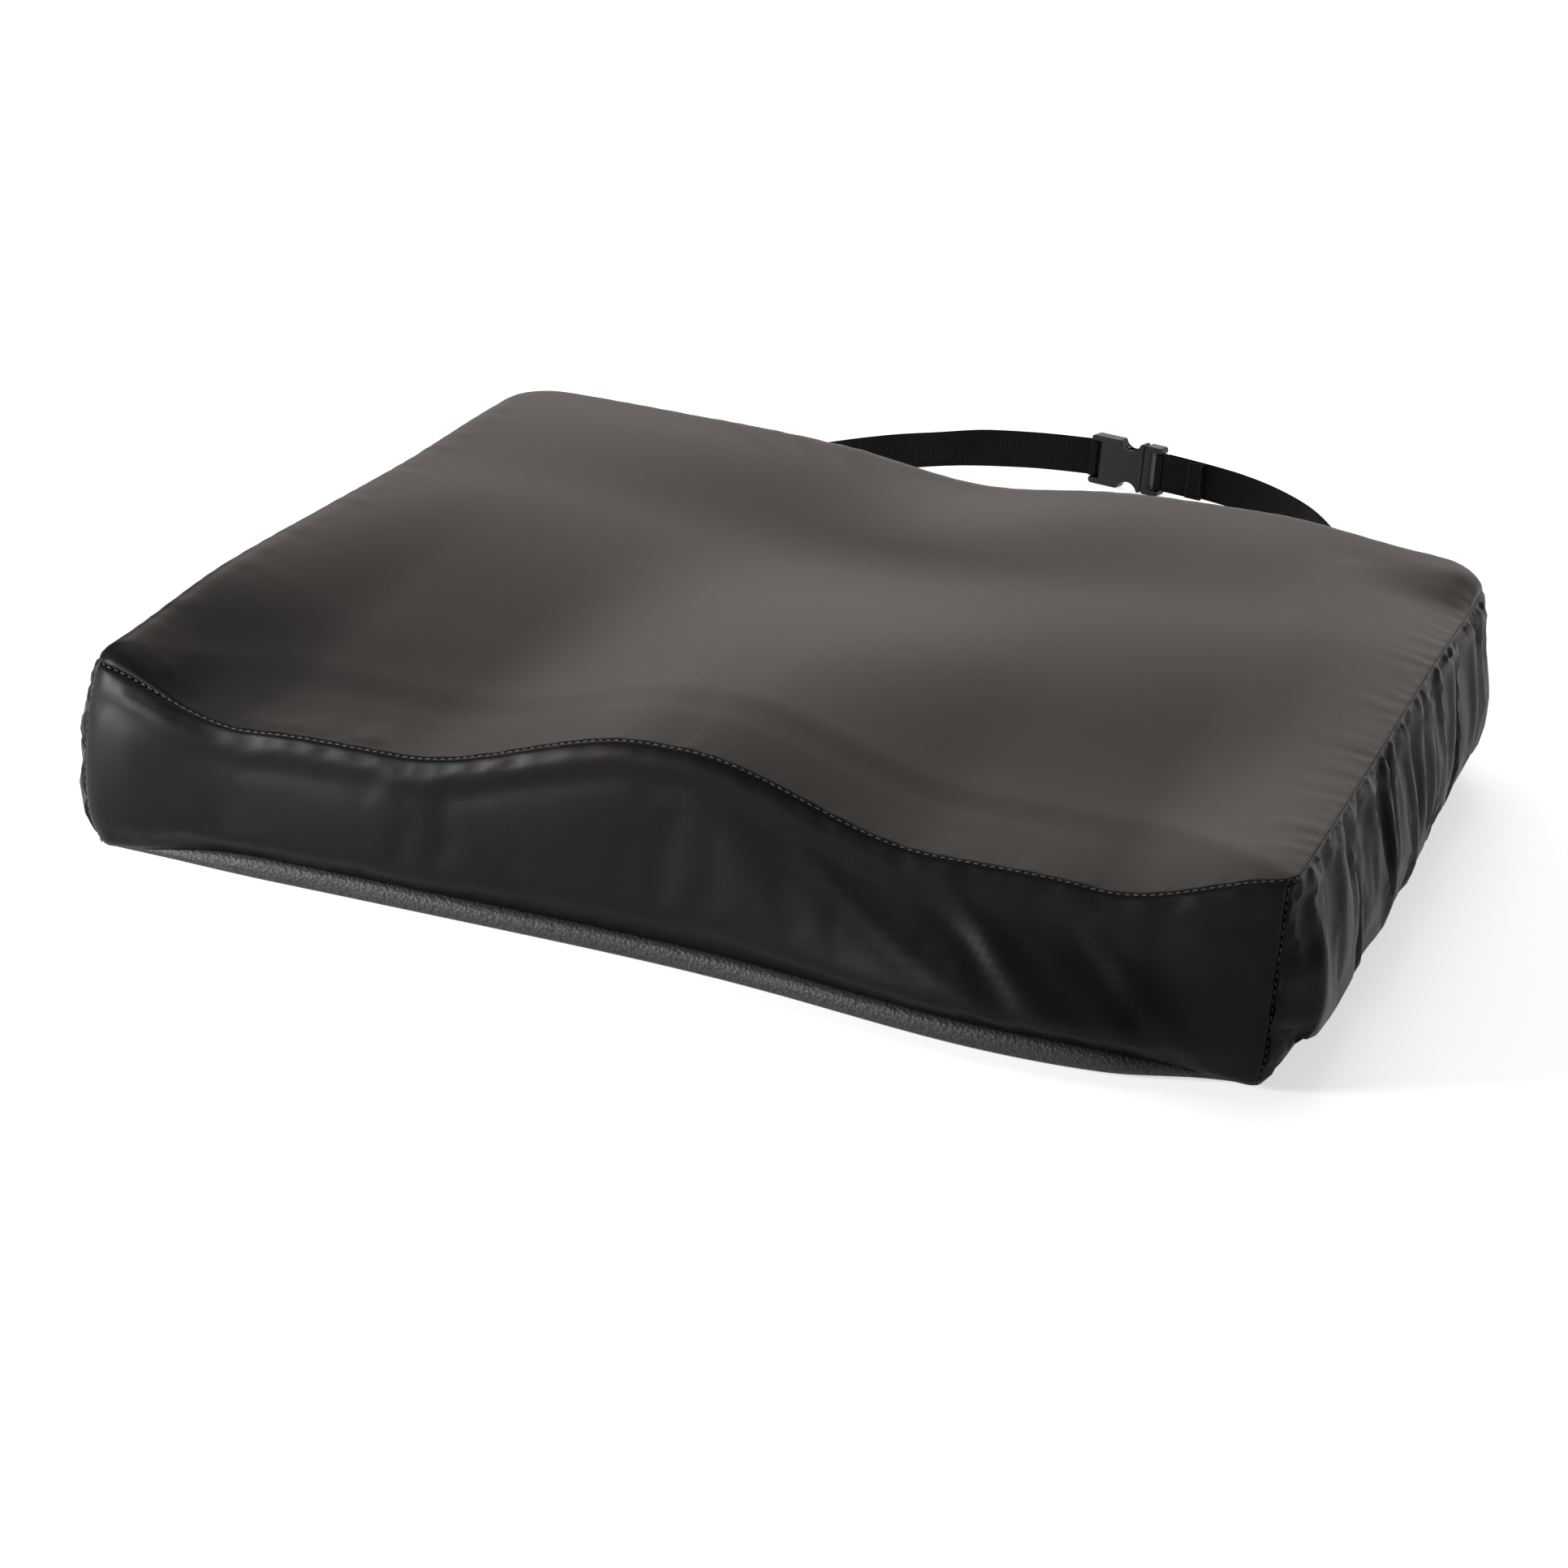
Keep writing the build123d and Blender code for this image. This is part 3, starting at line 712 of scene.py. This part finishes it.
def build_back(grid):
    """The back panel in two halves, folded in above and below the zip."""
    turn_in = 3.0
    s = SIDE_STATIONS[SIDES.index("back")]
    for name, above in (("upper", True), ("lower", False)):
        rows = []
        edge_z = zip_z + zip_slot_half * (1 if above else -1)
        for k in np.linspace(0, 1, 14):
            row = np.empty((len(s), 3))
            for c in range(len(s)):
                column = grid[:, c]
                z_top, z_bottom = column[0, 2], column[-1, 2]
                open_here = smooth((min(s[c], 1 - s[c]) - 0.045) / 0.03)
                edge = zip_z + (edge_z - zip_z) * open_here
                z = z_top + (edge - z_top) * k if above else edge + (z_bottom - edge) * k
                f = (z_top - z) / (z_top - z_bottom)
                row[c, :2] = [np.interp(f, WALL_LINES, column[:, i]) for i in (0, 1)]
                row[c, 2] = z
            rows.append(row)
        rows = np.array(rows)
        inner = rows[-1:] if above else rows[:1]
        folded = inner - np.array([0, turn_in * 0.4, 0])
        rows = np.concatenate([rows, folded]) if above else np.concatenate([folded, rows])
        panel = cloth_panel(f"back_panel_{name}", rows[::-1], f"cover_back_{name}", 0.6)


def build_base():
    """Non-slip base panel: flat underneath, its rim rounded up under the hem."""
    rings = ((-34.0, 0.0), (-8.0, 0.0), (-4.5, 0.05), (-2.4, 0.5), (-0.9, 1.6), (-0.2, 3.2),
             (0.0, 5.0), (-0.3, 7.2), (-1.4, 8.6), (-4.0, 9.0))
    loops = []
    for inset, z in rings:
        loop = []
        for side in range(4):
            s = SIDE_STATIONS[side][:-1]
            plan, normal = outline_side(side, s)
            middle = corner_fade(s, 0.16)
            forward = bow(s) if side == 0 else 0.0
            soft = 0.4 * np.sin(7 * s * math.pi + side) * smooth(z / 3) * smooth((9 - z) / 3)
            out = inset - base_inset + 3.5 * middle + forward + soft
            shifted = plan + normal * out[:, None]
            level = z * (0.45 + 0.55 * middle)
            loop.append(np.concatenate([shifted, level[:, None]], axis=1))
        loops.append(np.concatenate(loop))
    count = len(loops[0])
    points = np.concatenate(loops + [np.array([[0, 0, 0.0], [0, 0, 9.0]])])
    faces = tube_faces(len(loops), count)
    for c in range(count):
        n = (c + 1) % count
        faces.append((n, c, len(points) - 2))
        last = (len(loops) - 1) * count
        faces.append((last + c, last + n, len(points) - 1))
    piece("base_cloth", points, faces, base_cloth, replaces=("base_panel",))


def block(name, inset, z_top, z_bottom, material, node, foot_inset=0.0):
    """A closed block of foam between two surfaces, drawn in at its foot."""
    rows, columns = len(along), len(across)
    layers = []
    for extra, z_at in ((0.0, z_top), (foot_inset, z_bottom)):
        x, y = plan_grid(inset + extra)
        layers.append(np.stack([x, y, z_at(x, y)], axis=-1).reshape(-1, 3))
    piece(name, np.concatenate(layers), shell_faces(rows, columns), material,
          replaces=(node,))


def build_foam():
    """The two foam layers inside the cover."""
    under = 3.0
    topper = 22.0
    foot = 2.6

    def seat(x, y):
        return crown(x, y) - rolled(x, y) - under

    block("soft_topper", under, seat, lambda x, y: seat(x, y) - topper, topper_foam,
          "foam_topper")
    block("firm_base", under, lambda x, y: seat(x, y) - topper - 0.3,
          lambda x, y: 0 * x + foot, base_foam, "foam_base", foot_inset=8.0)


# ---- Webbing ----
LEFT_ROUTE = [
    (-217.8, 208.7), (-217.0, 262.0), (-213.0, 332.0), (-199.5, 402.0), (-173.5, 469.0),
    (-143.5, 519.0), (-119.0, 547.0), (-103.0, 562.5), (-84.0, 572.5), (-64.5, 580.0),
    (-44.9, 583.2),
]
RIGHT_ROUTE = [
    (217.8, 208.7), (193.0, 262.0), (165.0, 335.0), (141.0, 400.0), (118.0, 460.0),
    (98.0, 503.0), (79.0, 529.0), (56.0, 551.0), (30.0, 566.0), (0.5, 575.4),
]
BUCKLE_TURN = math.radians(-13.0)
BUCKLE_ALONG = np.array([math.cos(BUCKLE_TURN), math.sin(BUCKLE_TURN), 0])
BUCKLE_BACK = np.array([-math.sin(BUCKLE_TURN), math.cos(BUCKLE_TURN), 0])
BUCKLE_MIDDLE = np.array([-22.5, 578.0, webbing_z])


def on_buckle(length, behind=0.0):
    """A point measured along the buckle from its middle, and behind it."""
    return BUCKLE_MIDDLE + length * BUCKLE_ALONG + behind * BUCKLE_BACK


def smooth_line(route):
    """Points of the NURBS line through a route's control points, in millimetres."""
    curve = bpy.data.curves.new("route", "CURVE")
    curve.dimensions = "3D"
    spline = curve.splines.new("NURBS")
    spline.points.add(len(route) - 1)
    for point, (x, y) in zip(spline.points, route):
        point.co = (x * MM, y * MM, webbing_z * MM, 1)
    spline.order_u = 3
    spline.use_endpoint_u = True
    spline.resolution_u = 12
    holder = bpy.data.objects.new("route", curve)
    mesh = bpy.data.meshes.new_from_object(holder)
    line = np.array([v.co[:] for v in mesh.vertices]) / MM
    bpy.data.objects.remove(holder)
    bpy.data.curves.remove(curve)
    bpy.data.meshes.remove(mesh)
    return line


def even_line(line, step):
    """The same line with evenly spaced points, and how far along each one is."""
    lengths = np.concatenate([[0], np.cumsum(np.linalg.norm(np.diff(line, axis=0), axis=1))])
    count = max(2, round(lengths[-1] / step))
    at = np.linspace(0, lengths[-1], count + 1)
    return np.stack([np.interp(at, lengths, line[:, k]) for k in range(3)], axis=1), at


RIB_PITCH = 1.5
RIB_STEP = 0.375


def webbing_section():
    """Half thickness across the webbing's width: flat body and a bead at each edge."""
    half = webbing_w / 2
    z = np.array([-10.0, -9.85, -9.5, -9.0, -8.4, -8.0, -6.4, -4.8, -3.2, -1.6, 0.0])
    t = np.array([0.0, 0.42, 0.68, 0.70, 0.60, 0.50, 0.52, 0.53, 0.54, 0.54, 0.54])
    z = np.concatenate([z, -z[-2::-1]]) * half / 10
    t = np.concatenate([t, t[-2::-1]])
    face = np.stack([z, t], axis=1)
    other = np.stack([z[-2:0:-1], -t[-2:0:-1]], axis=1)
    return np.concatenate([face, other])


def webbing_mesh(name, line, body, node, lean=None, closed=False, width_scale=1.0):
    """Ribbed webbing that stands on edge along a line; lean tips its upper edge sideways."""
    points, at = even_line(line, RIB_STEP)
    if closed:
        points, at = points[:-1], at[:-1]
        way = np.roll(points, -1, axis=0) - np.roll(points, 1, axis=0)
    else:
        way = np.gradient(points, axis=0)
    way /= np.linalg.norm(way, axis=1, keepdims=True)
    side = np.cross(way, (0, 0, 1))
    side /= np.linalg.norm(side, axis=1, keepdims=True)
    section = webbing_section()
    across_z, thick = section[:, 0] * width_scale, section[:, 1]
    edge = np.abs(across_z) > 0.80 * webbing_w / 2
    ribs = 0.09 * np.cos(2 * math.pi * at / RIB_PITCH)
    beads = 0.13 * np.cos(2 * math.pi * at / RIB_PITCH + math.pi)
    relief = np.where(edge[None], beads[:, None], ribs[:, None])
    reach = thick[None] + np.sign(thick)[None] * relief
    tip = np.zeros(len(at)) if lean is None else lean(at / at[-1])
    up = np.array((0, 0, 1.0)) * np.cos(tip)[:, None] + side * np.sin(tip)[:, None]
    out = side * np.cos(tip)[:, None] - np.array((0, 0, 1.0)) * np.sin(tip)[:, None]
    grid = points[:, None] + up[:, None] * across_z[None, :, None] + out[:, None] * reach[..., None]
    rows, columns = grid.shape[:2]
    faces = tube_faces(rows, columns, joined=closed, capped=not closed)
    uvs = np.stack(np.broadcast_arrays(at[:, None], across_z[None]), axis=-1).reshape(-1, 2)
    return piece(name, grid.reshape(-1, 3), faces, webbing_cloth, body, (node,), uvs)


def ring(middle, half_l, half_t, radius, steps=8):
    """Rounded rectangle in plan round a buckle bar."""
    line = []
    for k, (sx, sy) in enumerate(((1, 1), (-1, 1), (-1, -1), (1, -1))):
        for a in np.linspace(0, math.pi / 2, steps):
            turn = a + k * math.pi / 2
            dx = sx * (half_l - radius) + radius * math.cos(turn)
            dy = sy * (half_t - radius) + radius * math.sin(turn)
            line.append(middle + dx * BUCKLE_ALONG + dy * BUCKLE_BACK)
    line.append(line[0])
    return np.array(line)


def copy_of(node, name, material, body, voxel):
    """A rounded copy of a CAD piece: merged, remeshed finely and smoothed."""
    source = bpy.data.objects[node]
    mesh = source.data.copy()
    mesh.name = name
    shape = bmesh.new()
    shape.from_mesh(mesh)
    bmesh.ops.remove_doubles(shape, verts=shape.verts, dist=1e-6)
    shape.to_mesh(mesh)
    shape.free()
    mesh.materials.clear()
    mesh.materials.append(material)
    obj = add_object(name, mesh)
    remesh = obj.modifiers.new("rounded", "REMESH")
    remesh.mode = "VOXEL"
    remesh.voxel_size = voxel * MM
    remesh.use_smooth_shade = True
    even = obj.modifiers.new("even", "SMOOTH")
    even.factor = 0.5
    even.iterations = 3
    apply_modifiers(obj)
    settle(obj, body, (node,))
    return obj


def apply_modifiers(obj):
    """Replace an object's mesh by the one its modifiers make."""
    graph = bpy.context.evaluated_depsgraph_get()
    made = bpy.data.meshes.new_from_object(obj.evaluated_get(graph), depsgraph=graph)
    old = obj.data
    made.name = obj.name
    obj.modifiers.clear()
    obj.data = made
    bpy.data.meshes.remove(old)


def crease(t):
    """The left webbing leans a little and twists where it was folded."""
    return 0.10 * np.sin(5 * t) + 0.16 * bump((t - 0.80) / 0.05) - 0.12 * bump((t - 0.88) / 0.03)


def build_strap():
    """Strap, loops, tail and buckle."""
    female = copy_of("buckle_female", "buckle_socket", buckle_plastic,
                     "cushion", 0.3)
    male = copy_of("buckle_male", "buckle_plug", buckle_plastic,
                   "buckle_male_half", 0.3)
    for name in ("upper", "lower"):
        copy_of(f"buckle_latch_{name}", f"squeeze_arm_{name}", buckle_plastic,
                f"latch_{name}", 0.2)
    half_l, half_t = 2.25, 2.65
    left_loop = webbing_mesh("left_loop", ring(on_buckle(-20.05), half_l, half_t, 1.2),
                             "cushion", "strap_left_loop", closed=True)
    right_loop = webbing_mesh("right_loop", ring(on_buckle(20.05), half_l, half_t, 1.2),
                              "buckle_male_half", "strap_right_loop", closed=True)
    tail_start = on_buckle(23.1, -2.65)
    tail_end = on_buckle(47.0, -2.75)
    tail = webbing_mesh("tail", np.linspace(tail_start, tail_end, 9),
                        "buckle_male_half", "strap_tail")
    hem = webbing_mesh("tail_hem", np.linspace(on_buckle(38.0, -4.15), on_buckle(47.0, -4.2), 4),
                       "buckle_male_half", "strap_tail_hem")
    left_line = smooth_line(LEFT_ROUTE)
    right_line = smooth_line(RIGHT_ROUTE)
    left = webbing_mesh("left_strap", left_line, "cushion", "strap_left", lean=crease)
    right = webbing_mesh("right_strap", right_line, None, "strap_right")
    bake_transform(right)


def build_tabs():
    """Folded cloth tabs that hold the strap at the rear corners."""
    tab_length = 17.0
    tab_start = 15.5           # how far the tab starts before the strap's end
    squareness = 0.4
    for name, side in (("left", -1), ("right", 1)):
        route = LEFT_ROUTE if side < 0 else RIGHT_ROUTE
        end = np.array([*route[0], 0.0])
        way = np.array([*route[1], 0.0]) - end
        way /= np.linalg.norm(way)
        flat = np.array([-way[1], way[0], 0])
        root = end - tab_start * way
        rows = []
        for t in np.linspace(0, 1, 14):
            low = 3.0 + 0.8 * t
            high = 34.0 - 9.5 * smooth(t * 1.1)
            thick = 1.9 - 0.5 * t + 0.25 * math.sin(9 * t)
            loop = []
            for a in np.linspace(0, 2 * math.pi, 28, endpoint=False):
                rise = np.sign(math.sin(a)) * abs(math.sin(a)) ** squareness
                z = (low + high) / 2 + (high - low) / 2 * rise
                off = thick * np.sign(math.cos(a)) * abs(math.cos(a)) ** 0.5
                loop.append(root + way * tab_length * t + flat * off + np.array([0, 0, z]))
            rows.append(loop)
        rows = np.array(rows)
        faces = tube_faces(*rows.shape[:2], capped=True)
        tab = piece(f"tab_{name}", rows.reshape(-1, 3), faces, cover_cloth,
                    replaces=(f"strap_tab_{name}",))
        outward(tab)


def outward(obj):
    """Turn a closed mesh's faces outwards."""
    shape = bmesh.new()
    shape.from_mesh(obj.data)
    bmesh.ops.recalc_face_normals(shape, faces=shape.faces)
    shape.to_mesh(obj.data)
    shape.free()


def node_setup(name, inputs):
    """A geometry node group with a mesh in and out and named number inputs."""
    tree = bpy.data.node_groups.new(name, "GeometryNodeTree")
    tree.interface.new_socket("Geometry", in_out="INPUT", socket_type="NodeSocketGeometry")
    for label in inputs:
        tree.interface.new_socket(label, in_out="INPUT", socket_type="NodeSocketFloat")
    tree.interface.new_socket("Material", in_out="INPUT", socket_type="NodeSocketMaterial")
    tree.interface.new_socket("Geometry", in_out="OUTPUT", socket_type="NodeSocketGeometry")
    return tree


def beads_along_lines():
    """Node group: one rounded bead every Spacing along each line, turned along it."""
    tree = node_setup("beads_along_lines", ("Spacing", "Length", "Breadth", "Height"))
    nodes, links = tree.nodes, tree.links
    start = nodes.new("NodeGroupInput")
    finish = nodes.new("NodeGroupOutput")
    curve = nodes.new("GeometryNodeMeshToCurve")
    even = nodes.new("GeometryNodeResampleCurve")
    even.mode = "LENGTH"
    bead = nodes.new("GeometryNodeMeshUVSphere")
    bead.inputs["Segments"].default_value = 6
    bead.inputs["Rings"].default_value = 5
    bead.inputs["Radius"].default_value = 0.5
    scale = nodes.new("ShaderNodeCombineXYZ")
    vary = nodes.new("FunctionNodeRandomValue")
    vary.data_type = "FLOAT"
    vary.inputs[2].default_value = 0.9
    vary.inputs[3].default_value = 1.1
    vary.inputs["Seed"].default_value = 4
    sized = nodes.new("ShaderNodeVectorMath")
    sized.operation = "SCALE"
    tangent = nodes.new("GeometryNodeInputTangent")
    turn = nodes.new("FunctionNodeAlignRotationToVector")
    turn.axis = "X"
    place = nodes.new("GeometryNodeInstanceOnPoints")
    real = nodes.new("GeometryNodeRealizeInstances")
    smooth_it = nodes.new("GeometryNodeSetShadeSmooth")
    paint = nodes.new("GeometryNodeSetMaterial")
    links.new(start.outputs["Geometry"], curve.inputs["Mesh"])
    links.new(curve.outputs["Curve"], even.inputs["Curve"])
    links.new(start.outputs["Spacing"], even.inputs["Length"])
    links.new(even.outputs["Curve"], place.inputs["Points"])
    links.new(bead.outputs["Mesh"], place.inputs["Instance"])
    for socket, label in (("X", "Length"), ("Y", "Breadth"), ("Z", "Height")):
        links.new(start.outputs[label], scale.inputs[socket])
    links.new(scale.outputs["Vector"], sized.inputs[0])
    links.new(vary.outputs[1], sized.inputs["Scale"])
    links.new(sized.outputs["Vector"], place.inputs["Scale"])
    links.new(tangent.outputs["Tangent"], turn.inputs["Vector"])
    links.new(turn.outputs["Rotation"], place.inputs["Rotation"])
    links.new(place.outputs["Instances"], real.inputs["Geometry"])
    links.new(real.outputs["Geometry"], smooth_it.inputs["Geometry"])
    links.new(smooth_it.outputs["Geometry"], paint.inputs["Geometry"])
    links.new(start.outputs["Material"], paint.inputs["Material"])
    links.new(paint.outputs["Geometry"], finish.inputs["Geometry"])
    return tree


def beads(name, lines, sizes, material, slot, body="cushion", replaces=()):
    """Beads along lines, made by the node group and left as a plain mesh; sizes in mm."""
    points, edges = [], []
    for line in lines:
        first = len(points)
        points += [tuple(p * MM) for p in line]
        edges += [(first + i, first + i + 1) for i in range(len(line) - 1)]
    mesh = bpy.data.meshes.new(name)
    mesh.from_pydata(points, edges, [])
    obj = add_object(name, mesh)
    modifier = obj.modifiers.new("beads", "NODES")
    modifier.node_group = bead_nodes
    values = dict(zip(("Spacing", "Length", "Breadth", "Height"), (n * MM for n in sizes)))
    for item in bead_nodes.interface.items_tree:
        if item.in_out == "INPUT" and item.name in values:
            modifier[item.identifier] = values[item.name]
        elif item.name == "Material":
            modifier[item.identifier] = material
    apply_modifiers(obj)
    settle(obj, body, replaces)
    return obj


def seam_lines():
    """Lines of the cover's seams, a little below the cloth's surface."""
    lines = []
    sunk = 0.45
    for side in range(4):
        grid = wall_grid(side)
        plan, normal = outline_side(side, SIDE_STATIONS[side])
        into = np.concatenate([normal * 0.8, np.full((len(plan), 1), 0.6)], axis=1)
        lines.append(grid[0] - into * sunk)
        corner_out = np.array([*normal[0], 0.0])
        lines.append(grid[1:-1, 0] - corner_out * sunk)
    return lines


def build_stitches():
    """Thread that shows in the cover's seams and across the strap's tail."""
    beads("seam_stitches", seam_lines(), (3.0, 2.3, 0.45, 0.45), thread, "cover")
    rows = []
    for along_tail in (38.8, 46.2):
        middle = on_buckle(along_tail, -4.95)
        rows.append(np.array([middle + np.array([0, 0, z]) for z in np.linspace(-8.5, 8.5, 12)]))
    beads("tail_stitches", rows, (2.2, 1.7, 0.4, 0.4), thread, "webbing", "buckle_male_half")


def repaint(node, material):
    """Give a piece of the design its finished material."""
    materials = bpy.data.objects[node].data.materials
    materials.clear()
    materials.append(material)


def build_zip():
    """Zip across the back: tapes, coil teeth, end stops, slider and pull."""
    half = width / 2 - back_corner_r - zip_end
    coil_apart = 1.8           # each coil's middle from the zip's
    end_tooth = 0.6
    for name, up in (("upper", 1), ("lower", -1)):
        repaint(f"zip_tape_{name}", tape_cloth)
        z = zip_z + up * coil_apart
        line = np.array([[x, coil_y, z] for x in np.linspace(end_tooth - half, half - end_tooth, 60)])
        beads(f"coil_{name}", [line], (1.5, 1.15, 2.0, 2.3), coil_plastic, "zip_coil",
              replaces=(f"zip_coil_{name}",))
    repaint("zip_stops", zip_metal)
    copy_of("zip_slider", "slider", zip_metal, "zip_slider_body", 0.16)
    copy_of("zip_pull_tab", "pull", zip_metal, "zip_pull", 0.16)


bead_nodes = beads_along_lines()
topper_foam = open_cell_foam("soft_open_cell_foam", (0.62, 0.60, 0.42))
base_foam = open_cell_foam("firm_open_cell_foam", (0.55, 0.56, 0.60))
build_cover()
build_base()
build_foam()
build_strap()
build_tabs()
build_zip()
build_stitches()


# ---- Stage, lights and camera ----
def stage():
    """A wide white floor that glows a little, and a dim surround."""
    bpy.ops.mesh.primitive_plane_add(size=60, location=(0, 0, -0.0003))
    floor = bpy.context.object
    floor.name = "floor"
    material, tree, principled = shader("white_floor", (0.62, 0.62, 0.62), 0.7,
                                        Specular_IOR_Level=0.2, Emission_Color=(1, 1, 1, 1))
    away = tree.nodes.new("ShaderNodeVectorMath")
    away.operation = "LENGTH"
    tree.links.new(object_coordinates(tree), away.inputs[0])
    glow = ramp(tree, away.outputs["Value"], 300, 1100, 0.64, 1.0)
    tree.links.new(glow, principled.inputs["Emission Strength"])
    floor.data.materials.append(material)
    world = bpy.data.worlds.new("surround")
    bpy.context.scene.world = world
    world.use_nodes = True
    background = world.node_tree.nodes["Background"]
    background.inputs["Color"].default_value = (1, 1, 1, 1)
    background.inputs["Strength"].default_value = 0.10


def softbox(name, place, target, size, brightness, color=(1, 1, 1)):
    """A rectangular area light aimed at a point, of a given surface brightness."""
    light = bpy.data.lights.new(name, "AREA")
    light.shape = "RECTANGLE"
    light.size, light.size_y = size
    light.energy = brightness * math.pi * size[0] * size[1]
    light.color = color
    obj = add_object(name, light)
    obj.location = place
    obj.visible_camera = False
    way = Vector(target) - Vector(place)
    obj.rotation_euler = way.to_track_quat("-Z", "Y").to_euler()


def camera():
    """The camera, an 86 mm lens on a 36 mm square frame."""
    data = bpy.data.cameras.new("camera")
    data.sensor_width = 36
    data.sensor_fit = "HORIZONTAL"
    data.lens = 86.0
    data.clip_end = 50
    obj = add_object("camera", data)
    turn = Matrix.Rotation(math.radians(17.7), 4, "Z")
    tip = Matrix.Rotation(math.radians(90 - 19.3), 4, "X")
    roll = Matrix.Rotation(math.radians(4.9), 4, "Z")
    obj.matrix_world = Matrix.Translation((0.421, -1.380, 0.512)) @ turn @ tip @ roll
    bpy.context.scene.camera = obj


stage()
softbox("back_softbox", (-0.4, 2.4, 1.05), (0, 0, 0.1), (3.0, 1.5), 2.2, (1.0, 0.88, 0.83))
softbox("left_softbox", (-0.70, -0.75, 0.22), (-0.2, -0.2, 0.04), (0.30, 0.25), 80.0)
softbox("right_softbox", (0.95, 1.2, 0.17), (0.23, 0, 0.05), (1.0, 0.3), 1.8)
softbox("top_softbox", (-0.4, 0.6, 2.4), (0, 0, 0), (1.6, 1.6), 3.0)
camera()
bpy.context.scene.view_settings.view_transform = "Standard"
